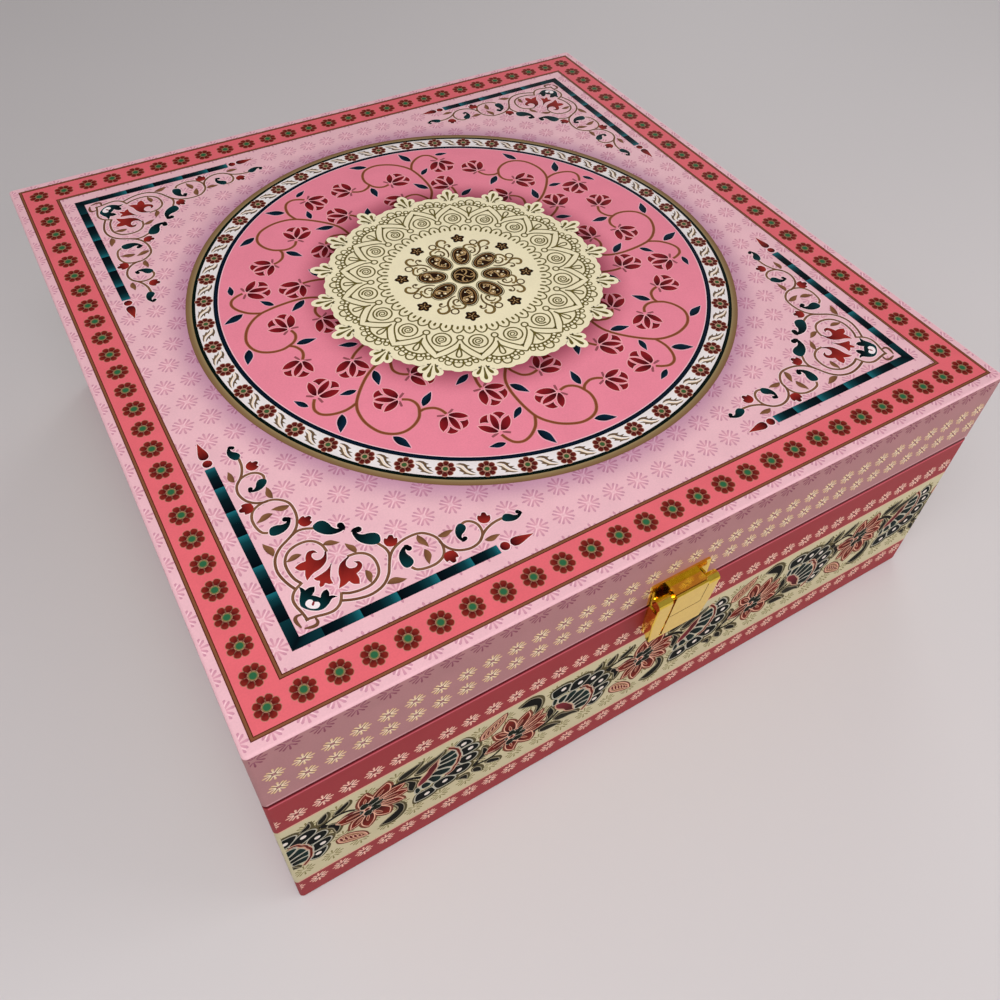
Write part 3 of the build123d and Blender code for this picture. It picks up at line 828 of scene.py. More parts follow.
def archMotif():
    # drawn with the arch's point straight up; half of it is drawn and mirrored
    motif, line = {}, medallion["line"]

    def at(angle, radius, *width):
        return (*polar(90 + angle, radius), *width)

    strokes = (
        ([(0, 43.7), (1.3, 43.0), (4.4, 41.4), (6.6, 39.9), (8.6, 38.5), (9.7, 37.4), (10.0, 35.5)], 3),
        ([(0, 40.9), (2.5, 39.2), (5.0, 37.6), (7.2, 36.0), (8.4, 34.8), (9.1, 33.6)], 3),
        ([(3.9, 41.5), (6.0, 42.6), (8.0, 43.0), (10.0, 43.1)], 2),
        ([(2.9, 42.2, 0.8), (4.6, 43.05, 1.5), (7.2, 43.65, 1.6), (10.0, 43.9, 1.6)], 3),
        ([(10.0, 42.0), (9.1, 41.6), (8.8, 40.6), (9.2, 39.0), (10.0, 37.6)], 3),
    )
    for side in (1, -1):
        for points, steps in strokes:
            addStroke(motif, "olive", [at(side * p[0], *p[1:]) for p in points], line, steps=steps)
        for angle, radius in ((9.0, 43.9), (7.05, 43.65), (5.2, 43.15), (3.5, 42.35)):
            addDot(motif, "bead", at(side * angle, radius), 0.5, 8)
        for angle, radius, size in ((6.0, 44.75, 1.2), (2.75, 43.75, 0.85)):
            centre = at(side * angle, radius)
            addDot(motif, "olive_scale", centre, size + 0.2, 12)
            addDot(motif, "bead_scale", centre, size - 0.28, 12)
    addPolygon(motif, "olive", [at(0, 41.6), at(1.1, 40.0), at(-1.1, 40.0)])
    for side in (1, -1):
        foot = [at(side * p[0], p[1]) for p in ((8.1, 44.3), (8.15, 45.5), (9.0, 46.4), (10.02, 46.6))]
        addStroke(motif, "olive", foot, line, steps=3)
    centre = at(0, 34.4)
    addRing(motif, "olive", centre, 3.15, line, 24)
    turns = 2.15
    spiral = []
    for k in range(26):
        t = k / 25
        spiral.append((*polar(95 - 360 * turns * t, 2.15 - 1.85 * t ** 0.9, centre), 0.62 - 0.25 * t))
    addStroke(motif, "olive", spiral, smooth=False)
    addRing(motif, "olive", at(10, 32.6), 1.1, line, 14)
    return motif


def medallionEdge(motif):
    edge = [(0, 46.3), (1.3, 46.9), (3.0, 47.8), (4.6, 48.25), (6.2, 48.25), (7.6, 48.15), (8.8, 48.55),
            (10, 48.65), (11.2, 48.55), (12.4, 48.15), (13.8, 48.25), (15.4, 48.25), (17.0, 47.8),
            (18.7, 46.9)]
    outline = []
    for k in range(medallion["count"]):
        first = medallion["first"] + 360 / medallion["count"] * k
        outline += [polar(first + angle, radius) for angle, radius in edge]
    addShape(motif, "cream", outline, steps=2, tone=0.5)


def trefoilMotif():
    motif = {}
    right = [(1.9, 46.4), (1.75, 47.4), (3.1, 47.7), (4.1, 48.9), (4.0, 50.3), (3.0, 51.0), (2.0, 50.7)]
    top = [(2.0, 50.7), (1.85, 52.3), (1.0, 53.6), (0, 53.9), (-1.0, 53.6), (-1.85, 52.3), (-2.0, 50.7)]
    addShape(motif, "cream", right, top, [(-x, y) for x, y in reversed(right)], [(-1.9, 46.4), (1.9, 46.4)],
             steps=3, tone=0.8)
    addStroke(motif, "olive", [(0, 46.9, 0.35), (0, 49.4, 0.7), (0, 51.5, 1.25), (0, 52.4, 0.6)], steps=3)
    for side in (1, -1):
        addStroke(motif, "olive",
                  [(side * 0.75, 46.0, 0.35), (side * 1.15, 47.4, 0.6), (side * 2.1, 49.1, 1.15),
                   (side * 2.6, 49.8, 0.6)], steps=3)
    return motif


def starMotif():
    motif, outline = {}, []
    for k in range(5):
        outline += [polar(72 * k, 2.7), polar(72 * k + 15, 2.4), polar(72 * k + 36, 1.8),
                    polar(72 * k + 57, 2.4)]
    addPolygon(motif, "umber", outline, 0.4)
    for k in range(5):
        addStroke(motif, "filigree",
                  [(*polar(72 * k, 0.6), 0.3), (*polar(72 * k, 1.2), 0.5), (*polar(72 * k, 1.7), 0.2)],
                  steps=2, tone=(0.4, 0.0))
    addDot(motif, "filigree", (0, 0), 0.28, 6)
    return motif


def ovalMotif():
    # filigree oval, its long way along x
    motif = {}
    body = [(-5.2, 0), (-4.3, 1.95), (-1.7, 3.2), (1.7, 3.3), (4.4, 2.05), (5.3, 0), (4.4, -2.05),
            (1.7, -3.3), (-1.7, -3.2), (-4.3, -1.95)]
    addStroke(motif, "olive", [(x * 1.02, y * 1.03) for x, y in body], 0.34, steps=3, closed=True)
    addShape(motif, "umber", [(x * 0.95, y * 0.94) for x, y in body], steps=3, tone=0.5)
    addStroke(motif, "filigree", [(x * 0.8, y * 0.77) for x, y in body], 0.4, steps=3, closed=True,
              tone=(0.0, 0.2))
    for cx, cy, r, first in ((-2.1, 0.2, 1.0, 0), (0.6, 1.1, 1.0, 140), (1.9, -0.9, 1.05, 250)):
        curl = [(*polar(first + 38 * i, r * (1 - i / 17), (cx, cy)), 0.46 - 0.015 * i) for i in range(13)]
        addStroke(motif, "filigree", curl, smooth=False, tone=(1.0, 0.6))
    addStroke(motif, "filigree",
              [(-3.4, 0.2, 0.3), (-1.2, 1.5, 0.45), (0.3, 0.0, 0.5), (1.0, -1.7, 0.45), (3.2, -1.0, 0.3)],
              steps=4, tone=(0.7, 0.9))
    for x, y, r in ((0.7, 1.1, 0.42), (-2.0, -0.9, 0.3), (1.9, -0.7, 0.34), (2.6, 0.9, 0.25)):
        addDot(motif, "bead", (x, y), r, 8)
    return motif


def clusterMotif():
    # scroll cluster with a ring ball, outwards is up
    motif = {}
    addRing(motif, "scroll", (-2.3, 19.6), 1.3, 0.55, 16, 0.2)
    addStroke(motif, "scroll",
              [(-0.2, 11.8, 0.4), (0.8, 13.0, 0.6), (1.3, 15.2, 0.7), (0.9, 17.2, 0.8), (-0.1, 18.8, 0.9),
               (-0.2, 20.3, 1.0), (0.7, 21.6, 1.0), (2.1, 21.9, 0.95), (3.2, 21.0, 0.85), (3.1, 19.9, 0.8),
               (2.4, 19.7, 0.7)], steps=4, tone=(0.2, 0.9))
    addStroke(motif, "scroll",
              [(1.2, 17.3, 0.4), (2.2, 18.6, 0.5), (3.4, 18.4, 0.6), (3.6, 17.3, 0.6), (2.9, 16.9, 0.6)],
              steps=4, tone=(0.4, 0.2))
    addDot(motif, "scroll", (3.2, 17.4), 0.5, 8, 0.1)
    addStroke(motif, "scroll",
              [(-0.5, 17.6, 0.5), (-2.2, 17.9, 0.7), (-4.2, 17.4, 0.8), (-4.9, 16.1, 0.8), (-4.4, 14.9, 0.7),
               (-3.4, 14.6, 0.5)], steps=4, tone=(0.9, 0.3))
    addStroke(motif, "scroll",
              [(-3.3, 16.0, 0.4), (-2.0, 16.6, 0.6), (-0.7, 15.8, 0.7), (-0.3, 14.4, 0.7), (-1.1, 13.4, 0.6),
               (-1.9, 14.1, 0.5), (-1.3, 14.9, 0.4)], steps=4, tone=(0.6, 0.1))
    addDot(motif, "scroll", (-0.9, 17.3), 0.55, 8, 1.0)
    return motif


def drawMedallion(motif):
    medallionEdge(motif)
    arch, trefoil = archMotif(), trefoilMotif()
    for k in range(medallion["count"]):
        turn = medallion["first"] - 90 + 360 / medallion["count"] * k
        stamp(motif, arch, turn=turn)
        if k != medallion["missing"]:  # the photograph's print has no tip at the front
            stamp(motif, trefoil, turn=turn)
    loop = {}
    for side in (1, -1):
        addStroke(loop, "olive",
                  [(0, 30.4), (side * 0.95, 30.0), (side * 1.65, 29.0), (side * 2.02, 28.0),
                   (side * 1.95, 26.5, 0.5)], medallion["line"], steps=3)
    addShape(loop, "olive", [(0, 28.7), (0.42, 28.2), (0.3, 27.2), (0, 26.9), (-0.3, 27.2), (-0.42, 28.2)],
             steps=2)
    for k in range(medallion["loops"]):
        stamp(motif, loop, turn=medallion["firstLoop"] + 360 / medallion["loops"] * k)
    star, oval, cluster = starMotif(), ovalMotif(), clusterMotif()
    for k in range(len(medallion["starTurns"])):
        angle = 22.5 + 45 * k
        stamp(motif, star, polar(angle, medallion["stars"]), medallion["starTurns"][k])
        stamp(motif, oval, polar(angle, medallion["ovals"]), angle)
        stamp(motif, cluster, turn=45 * k)
    addDot(motif, "umber", (0, 0), 4.4, 28, 0.1)
    addRing(motif, "olive", (0, 0), 4.65, 0.4, 28)
    addRing(motif, "filigree", (0, 0), 3.6, 0.35, 24, 0.4)
    curl = {}
    addStroke(curl, "filigree",
              [(0.2, 0.3, 0.4), (1.4, 0.5, 0.5), (2.4, 1.3, 0.5), (2.3, 2.5, 0.45), (1.4, 2.6, 0.4),
               (1.2, 1.8, 0.35)], steps=4, tone=(0.9, 0.4))
    for k in range(4):
        stamp(motif, curl, turn=90 * k + 20)


topEnd = 126.1  # mm from the middle of the top to the ends of its print
topArt = {}
drawSprigs(topArt)
for axis in (0, 1):
    topArt = keepBetween(topArt, -topEnd, topEnd, axis)
drawBorder(topArt)
drawCorners(topArt)
drawDisc(topArt)
drawMedallion(topArt)
printTop(topArt)
print("lid top printed")

# Lid sides: one row of the top's sprigs runs over the edge, then two rows of gold sprigs; heights in mm.
# The side paper and that sprig row are the top's pink and sprig darkened, in part as painted shade
lidSides = {
    "topRow": 99.2, "topPitch": 8.45, "topShift": 1.85, "goldRows": (88.0, 80.3), "goldPitch": 7.4,
    # the hem height is the width of a pale strip at the foot of the sides, a painted highlight of the lid's
    # rounded edge
    "goldShift": 4.0, "goldSize": 0.86, "goldBold": 1.3, "low": 73.2, "high": 100.85, "fade": 0.2, "hem": 0.8,
    "paper": "#B07C7E", "topPaper": "#EDBAC3",
}
sideEnd = 126.0  # mm from the middle of a side to the end of its print


def sprigRow(motif, one, height, pitch, shift):
    count = int(2 * sideEnd / pitch) + 1
    for k in range(count + 2):
        stamp(motif, one, (pitch * (k - count // 2 - 1) + shift, height))


def addStrip(motif, ink, low, high):
    addPolygon(motif, ink, [(-sideEnd, low), (sideEnd, low), (sideEnd, high), (-sideEnd, high)])


lidArt = {}
sprigRow(lidArt, sprigMotif("painted_shade_side_sprig"), lidSides["topRow"], lidSides["topPitch"], lidSides["topShift"])
lidArt = keepBetween(lidArt, lidSides["low"], lidSides["high"], 1)
goldSprig = sprigMotif("gold_sprig", "sprig_gap", lidSides["goldSize"], lidSides["goldBold"])
for height in lidSides["goldRows"]:
    sprigRow(lidArt, goldSprig, height, lidSides["goldPitch"], lidSides["goldShift"])
# a pale strip at the foot of the lid's sides, a painted highlight of its rounded lower edge
addStrip(lidArt, "painted_highlight_lid_edge", lidSides["low"], lidSides["low"] + lidSides["hem"])
printSides(keepBetween(lidArt, -sideEnd, sideEnd), "lid_wrap", "lid")
print("lid sides printed")

# Base sides: red with two rows of pale sprigs, and a wide band of flowers and fans; heights in mm
baseSides = {
    # from the rim height up the paper turns dark red, painted shade in the seam between lid and base
    "rows": (60.0, 9.5), "pitch": 7.35, "shift": -2.5, "size": 0.88, "bold": 1.35, "rim": 71.8,
    "bandLow": 13.8, "bandHigh": 54.6, "paper": "#9A2E34", "band": "#CEC39E", "seamShadePaper": "#5A121A",
    # the first strip, just under the seam, is a painted highlight of the base's rounded top edge; the other
    # two edge the band in print
    "strips": (("seam_painted_highlight", 70.8, 71.65), ("band_hem", 54.2, 54.8), ("band_hem", 13.6, 14.3)),
    "groundRow": 20.4, "groundRows": 4, "groundPitch": 9.37, "groundFirst": -132.14, "groundAcross": 8.84,
    "groundCount": 31, "flower": (-101.5, 38.7), "flipped": (-53.9, 33.8), "lean": 3.4, "repeat": 95.2,
}


def ovalPoints(centre, wide, high, turn):
    c, s = polar(turn, 1.0)
    points = [(wide * math.cos(a * math.pi / 4), high * math.sin(a * math.pi / 4)) for a in range(8)]
    return [(centre[0] + x * c - y * s, centre[1] + x * s + y * c) for x, y in points]


def bandUnit():
    # one repeat in mm: x from the middle of the front, y from the table
    unit = {}
    petals = [
        [(-103.5, 41.2), (-104.2, 43.8), (-103.8, 46.3), (-102.7, 48.1), (-101.5, 49.2), (-101.5, 49.2),
         (-101.1, 47.6), (-100.3, 45.9), (-99.8, 44.6), (-99.8, 44.6), (-100.9, 43.2), (-102.2, 41.4)],
        [(-99.8, 43.9), (-98.9, 45.8), (-97.3, 47.6), (-95.2, 49.1), (-95.2, 49.1), (-94.3, 47.4),
         (-94.2, 45.2), (-94.8, 43.0), (-94.8, 43.0), (-96.4, 42.4), (-98.0, 42.3)],
        [(-94.6, 43.3), (-92.3, 43.4), (-90.1, 42.9), (-90.1, 42.9), (-91.2, 41.3), (-92.6, 40.1),
         (-92.6, 40.1), (-94.6, 40.4), (-96.8, 41.0), (-98.0, 42.0)],
        [(-92.7, 40.0), (-90.7, 38.9), (-89.0, 37.0), (-89.0, 37.0), (-91.3, 36.4), (-93.6, 36.7),
         (-93.6, 36.7), (-95.8, 37.8), (-97.3, 39.0), (-96.2, 40.4)],
        [(-93.7, 36.5), (-91.9, 34.8), (-90.8, 32.3), (-90.8, 32.3), (-93.2, 33.2), (-95.7, 34.3),
         (-95.7, 34.3), (-97.4, 36.0), (-97.5, 37.4)],
        [(-97.8, 36.0), (-96.2, 33.8), (-95.1, 31.2), (-95.7, 27.9), (-95.7, 27.9), (-97.6, 29.2),
         (-99.4, 31.4), (-100.3, 34.4), (-100.3, 34.4), (-99.2, 36.0)],
        [(-100.4, 34.6), (-100.2, 31.2), (-101.0, 28.4), (-102.5, 26.4), (-102.5, 26.4), (-103.8, 28.5),
         (-104.3, 31.2), (-103.2, 34.6), (-101.9, 35.5)],
        [(-103.3, 36.6), (-105.4, 36.2), (-107.0, 34.6), (-107.8, 31.1), (-107.8, 31.1), (-105.9, 31.4),
         (-104.3, 32.6), (-103.0, 34.8)],
        [(-103.2, 39.7), (-105.6, 41.2), (-108.4, 41.5), (-111.4, 40.3), (-111.4, 40.3), (-109.8, 38.1),
         (-106.8, 36.8), (-103.3, 37.2)],
    ]
    middle = (-101.2, 38.8)
    for petal in petals:
        far = max(petal, key=lambda p: math.hypot(p[0] - middle[0], p[1] - middle[1]))
        edge = addCell(unit, "flower", "flower_line", 0.38, petal,
                       along=((middle[0] * 0.7 + far[0] * 0.3, middle[1] * 0.7 + far[1] * 0.3), far))
        addLoop(unit, "flower_wash", edge, 1.9, 0.3)
    for streak in (
        [(-102.4, 43.2, 0.5), (-102.2, 44.5, 1.3), (-101.9, 46.2, 0.4)],
        [(-98.6, 43.1, 0.5), (-97.6, 44.4, 1.3), (-96.2, 46.0, 0.4)],
        [(-96.9, 41.4, 0.4), (-95.0, 41.6, 1.0), (-93.0, 42.0, 0.3)],
        [(-96.8, 39.6, 0.5), (-94.8, 38.9, 1.0), (-92.3, 37.9, 0.3)],
        [(-97.4, 37.0, 0.5), (-95.8, 35.8, 0.9), (-93.4, 34.4, 0.3)],
        [(-99.9, 35.0, 0.6), (-99.0, 33.3, 1.5), (-97.7, 31.2, 0.5)],
        [(-101.9, 34.4, 0.6), (-102.2, 32.7, 1.4), (-102.4, 30.6, 0.4)],
        [(-103.6, 35.4, 0.5), (-104.6, 34.3, 1.2), (-106.0, 32.7, 0.4)],
        [(-103.6, 38.5, 0.5), (-105.6, 38.9, 1.1), (-108.4, 39.1, 0.4)],
    ):
        addStroke(unit, "flower_line", [(x, y, w * 0.8) for x, y, w in streak], steps=3, tone=(0.2, 0.2))
        addStroke(unit, "flower_core", [(x, y, w * 0.8 - 0.45 if w > 0.7 else 0.05) for x, y, w in streak],
                  steps=3)
    addDot(unit, "flower", (-101.0, 39.0), 3.2, 16, 0.2)
    addDot(unit, "spray", (-101.9, 38.8), 0.8, 10)
    addRing(unit, "flower_line", (-101.9, 38.8), 1.0, 0.75, 14)
    for centre, wide, high, turn in (((-102.6, 41.6), 1.15, 1.45, 0), ((-99.7, 41.9), 1.6, 1.2, 25),
                                     ((-98.7, 39.4), 1.7, 0.95, 12), ((-99.4, 37.0), 1.6, 1.1, -25),
                                     ((-101.9, 36.2), 1.1, 1.5, 5), ((-103.6, 38.6), 0.45, 0.6, 0)):
        addCell(unit, "flower_eye", "fan_line", 0.4, ovalPoints(centre, wide * 1.15, high * 1.15, turn),
                steps=2, along=((centre[0] - 1, centre[1]), (centre[0] + 1.5, centre[1])))
    leaves = [
        ([(-121.2, 47.3), (-120.3, 48.4), (-119.0, 49.6), (-118.2, 51.2), (-118.2, 51.2), (-117.8, 49.5),
          (-118.0, 47.6), (-119.5, 46.8)], 0.1),
        ([(-115.9, 46.5), (-115.7, 48.5), (-114.5, 49.9), (-113.0, 51.2), (-113.0, 51.2), (-112.9, 49.0),
          (-113.6, 47.2), (-114.8, 46.0)], 0.3),
        ([(-111.2, 46.7), (-110.6, 48.3), (-108.7, 49.7), (-106.4, 51.2), (-106.4, 51.2), (-106.6, 49.2),
          (-108.2, 47.4), (-109.7, 46.3)], 0.1),
        ([(-113.2, 42.4), (-111.4, 41.0), (-110.3, 38.6), (-110.6, 36.4), (-111.7, 34.6), (-111.7, 34.6),
          (-112.0, 36.6), (-112.4, 39.0), (-113.8, 41.0)], 0.0),
        ([(-91.8, 46.5), (-91.3, 48.2), (-89.4, 49.3), (-86.8, 49.8), (-84.3, 50.4), (-84.3, 50.4),
          (-85.2, 48.9), (-86.8, 47.3), (-89.0, 46.0), (-91.0, 45.8)], 0.6),
        ([(-86.5, 44.5), (-85.3, 46.5), (-83.0, 47.6), (-80.0, 48.2), (-77.0, 49.9), (-77.0, 49.9),
          (-77.9, 48.0), (-79.2, 46.5), (-81.5, 45.2), (-83.5, 43.6), (-85.3, 43.4)], 1.0),
        ([(-89.9, 43.2), (-88.3, 41.8), (-87.2, 40.2), (-86.6, 39.2), (-86.7, 37.2), (-87.8, 34.0),
          (-87.8, 34.0), (-89.1, 36.0), (-89.2, 38.5), (-88.9, 40.8)], 0.2),
        ([(-93.8, 31.9), (-92.3, 31.0), (-91.2, 28.6), (-91.0, 26.0), (-91.6, 23.4), (-93.4, 21.3),
          (-96.0, 20.5), (-99.1, 22.2), (-99.1, 22.2), (-97.3, 23.7), (-95.1, 25.2), (-93.2, 26.8),
          (-93.0, 28.6), (-93.5, 30.3)], 0.1),
    ]
    for outline, tone in leaves:
        edge = addCell(unit, "dark_leaf", "leaf_line", 0.32, outline, tone=tone)
        addLoop(unit, "wash", [(x + 0.25, y - 0.45) for x, y in edge], 1.5, 0.7)
    for stem in (
        [(-115.8, 43.6, 1.2), (-113.2, 44.9, 1.1), (-110.0, 45.5, 1.1), (-107.4, 44.8, 1.0),
         (-105.2, 42.8, 0.7)],
        [(-115.4, 44.8, 1.8), (-114.4, 43.0, 1.6), (-112.8, 41.6, 1.0)],
        [(-94.4, 45.1, 1.0), (-91.5, 44.4, 1.3), (-89.0, 43.6, 1.3), (-86.9, 42.2, 1.2), (-84.9, 40.2, 1.2)],
    ):
        addStroke(unit, "wash", stem, 2.4, tone=(0.8, 0.8))
        addStroke(unit, "dark_leaf", stem, steps=4, tone=(0.2, 0.1))
    addCell(unit, "fan_red", "leaf_line", 0.3,
            [(-110.2, 41.7), (-108.3, 42.8), (-106.4, 42.9), (-104.5, 41.9), (-104.5, 41.9), (-106.5, 41.4),
             (-108.3, 41.8)], tone=0.6)
    # red spray below on the left
    spray = [(-112.0, 28.8), (-112.0, 28.8), (-111.7, 26.4), (-110.4, 24.6), (-108.4, 23.1), (-105.8, 21.7),
             (-103.3, 20.7), (-103.3, 20.7), (-104.0, 23.5), (-105.6, 26.0), (-107.8, 28.2), (-110.2, 29.4)]
    edge = addCell(unit, "spray_ground", "flower_line", 0.4, spray, tone=0.3)
    addLoop(unit, "flower_wash", edge, 1.5, 0.0)
    for x, y, high in ((-111.0, 27.4, 2.8), (-109.6, 26.6, 3.0), (-108.2, 25.6, 2.8), (-106.9, 24.6, 2.4),
                       (-105.6, 23.4, 1.9), (-104.6, 22.3, 1.2)):
        addStroke(unit, "flower_line",
                  [(x - 0.2, y + high / 2 + 0.2, 0.6), (x, y, 1.25), (x + 0.35, y - high / 2 - 0.2, 0.6)],
                  steps=3)
        addStroke(unit, "spray", [(x - 0.2, y + high / 2, 0.3), (x, y, 0.8), (x + 0.35, y - high / 2, 0.3)],
                  steps=3)
    # fan: red crescent, teal cells, a wavy ribbon and six dark scallops
    crescent = [(-78.5, 46.0), (-79.2, 44.6), (-79.4, 42.9), (-79.6, 41.4), (-80.5, 39.8), (-81.6, 38.0),
                (-82.6, 36.4), (-84.4, 35.0), (-86.1, 34.7), (-86.1, 34.7), (-86.1, 36.4), (-85.4, 38.2),
                (-84.2, 39.7), (-83.0, 41.2), (-82.3, 43.0), (-81.0, 44.4)]
    addCell(unit, "fan_red", "fan_pink", 0.45, crescent, along=((-80.0, 44.0), (-84.6, 36.0)))
    for outline in (
        [(-78.5, 46.0), (-76.5, 46.9), (-74.6, 47.3), (-73.7, 46.0), (-73.5, 44.6), (-75.5, 44.0),
         (-78.3, 43.9)],
        [(-78.5, 43.6), (-75.6, 43.6), (-73.5, 44.1), (-73.0, 42.4), (-73.1, 40.9), (-75.5, 41.0),
         (-78.8, 41.8)],
        [(-79.2, 41.3), (-76.2, 40.7), (-73.3, 40.2), (-73.7, 38.0), (-74.9, 36.5), (-77.0, 38.0),
         (-79.7, 39.4)],
        [(-80.3, 38.9), (-77.9, 38.0), (-75.6, 36.2), (-75.3, 35.0), (-76.6, 34.0), (-78.5, 34.2),
         (-80.4, 36.0), (-81.7, 37.6)],
        [(-82.4, 36.6), (-80.9, 36.6), (-79.3, 34.9), (-78.4, 33.3), (-79.2, 31.6), (-81.0, 31.8),
         (-82.0, 33.8), (-82.9, 35.8)],
        [(-84.9, 34.7), (-83.6, 35.1), (-82.5, 33.9), (-81.8, 32.3), (-82.6, 31.2), (-84.5, 31.5),
         (-85.2, 33.0)],
        [(-87.1, 34.0), (-86.1, 34.3), (-85.4, 32.6), (-85.4, 31.2), (-86.5, 30.2), (-87.2, 31.5)],
    ):
        middle = [sum(p[i] for p in outline) / len(outline) for i in (0, 1)]
        addCell(unit, "fan", "fan_line", 0.42, outline,
                along=((middle[0] - 2, middle[1] + 0.5), (middle[0] + 2.2, middle[1] - 0.5)))
    ribbon = [(-75.9, 49.8), (-74.2, 47.9), (-72.9, 45.6), (-72.4, 43.2), (-72.1, 41.2), (-72.6, 39.0),
              (-72.9, 37.0), (-74.0, 35.4), (-75.0, 33.4), (-77.2, 32.4)]
    addStroke(unit, "fan_pink", ribbon, 1.7, steps=4)
    addStroke(unit, "ribbon", ribbon, 0.75, steps=4)
    for outline, eye in (
        ([(-73.6, 48.4), (-71.3, 50.3), (-69.4, 48.9), (-68.2, 46.8), (-68.1, 45.2), (-70.0, 45.0),
          (-71.9, 44.9), (-72.4, 46.8)], (-70.9, 47.1)),
        ([(-71.7, 44.2), (-69.3, 44.4), (-67.0, 43.4), (-65.8, 41.5), (-66.2, 39.7), (-68.3, 39.0),
          (-71.1, 39.3), (-71.4, 41.6)], (-68.6, 41.8)),
        ([(-71.9, 38.4), (-69.5, 38.6), (-67.1, 37.6), (-66.1, 35.6), (-66.9, 33.5), (-69.0, 32.8),
          (-71.4, 33.9), (-72.6, 36.2)], (-69.2, 35.9)),
        ([(-74.6, 34.5), (-71.5, 33.6), (-69.2, 32.2), (-68.5, 30.2), (-70.2, 28.1), (-73.0, 28.2),
          (-75.6, 30.2), (-76.8, 32.0)], (-72.4, 30.6)),
        ([(-81.2, 29.9), (-79.8, 31.2), (-77.2, 31.3), (-75.2, 29.8), (-73.6, 27.2), (-75.0, 25.6),
          (-78.5, 25.2), (-80.2, 26.2)], (-77.3, 28.5)),
        ([(-86.9, 29.3), (-84.3, 29.6), (-81.9, 29.5), (-81.0, 27.5), (-80.6, 25.4), (-82.6, 24.1),
          (-85.1, 24.0), (-87.5, 25.0)], (-83.4, 26.5)),
    ):
        edge = addCell(unit, "fan", "fan_line", 0.45, outline, tone=0.08)
        addLoop(unit, "wash", [(x + 0.2, y - 0.4) for x, y in edge], 2.0, 0.7)
        addDot(unit, "fan_eye", eye, 0.95, 12)
    return unit


baseArt = {}
creamSprig = sprigMotif("cream_sprig", "red_gap", baseSides["size"], baseSides["bold"])
for height in baseSides["rows"]:
    sprigRow(baseArt, creamSprig, height, baseSides["pitch"], baseSides["shift"])
for ink, low, high in baseSides["strips"]:
    addStrip(baseArt, ink, low, high)
bandGround = {}
for row in range(-1, baseSides["groundRows"] + 1):
    one = sprigMotif("olive_sprig" if 0 <= row < baseSides["groundRows"] else "red_sprig")
    for k in range(baseSides["groundCount"]):
        across = baseSides["groundFirst"] + baseSides["groundAcross"] * (k + row % 2 / 2)
        stamp(bandGround, one, (across, baseSides["groundRow"] + baseSides["groundPitch"] * row))
stamp(baseArt, keepBetween(bandGround, baseSides["bandLow"], baseSides["bandHigh"], 1))
upright, flipped = {}, {}
stamp(upright, bandUnit(), [-c for c in baseSides["flower"]])
stamp(flipped, upright, turn=180 + baseSides["lean"], flip=True, lift=hairGap / 2)
for k in range(-1, 6):
    unit, place = (flipped, "flipped") if k % 2 else (upright, "flower")
    x, y = baseSides[place]
    stamp(baseArt, unit, (x + baseSides["repeat"] * (k // 2), y))
printSides(keepBetween(baseArt, -sideEnd, sideEnd), "base_wrap", "base")
print("base sides printed")

# Materials of the frame's own pieces, with the sizes and depths of their patterns in mm
boardFinish = {"fibre": 0.4545, "cloud": 8.333, "depth": 0.05, "strength": 0.5, "roughness": 0.85}
liningFinish = {"fleck": 1.111, "depth": 0.03, "strength": 0.4, "roughness": 0.8}
brassFinish = {"ripple": 6.25, "haze": 1.4286, "depth": 0.06, "strength": 0.25, "roughness": (0.09, 0.17)}


def lidPaper():
    # Art paper of the lid: pale pink on top and over the edge; down the sides a dusty mauve, the same pink
    # darkened in part as painted shade
    material, tree, where = newMaterial("art_paper_lid")
    height = addNode(tree, "ShaderNodeSeparateXYZ", {0: where}).outputs["Z"]
    isTop = addNode(tree, "ShaderNodeMapRange", {
        "Value": height, "From Min": lidSides["high"] * mm,
        "From Max": (lidSides["high"] + lidSides["fade"]) * mm,
    })
    pink = underShadow(tree, where, toLinear(lidSides["topPaper"]), "disc")
    colour = addNode(tree, "ShaderNodeMix", {
        "Factor": isTop.outputs["Result"], 6: toLinear(lidSides["paper"]), 7: pink,
    }, data_type="RGBA").outputs[2]
    finishPaper(tree, where, colour, {})
    return material


def basePaper():
    # Art paper of the base: red with a beige band, its edges sharp as printed; from the rim height up a dark
    # red, painted shade in the seam
    material, tree, where = newMaterial("art_paper_base")
    height = addNode(tree, "ShaderNodeSeparateXYZ", {0: where}).outputs["Z"]
    colour = toLinear(baseSides["paper"])
    for start, code in (("bandLow", "band"), ("bandHigh", "paper"), ("rim", "seamShadePaper")):
        above = addNode(tree, "ShaderNodeMath", {0: height, 1: baseSides[start] * mm},
                        operation="GREATER_THAN")
        colour = addNode(tree, "ShaderNodeMix", {
            "Factor": above.outputs[0], 6: colour, 7: toLinear(baseSides[code]),
        }, data_type="RGBA").outputs[2]
    finishPaper(tree, where, colour, {})
    return material


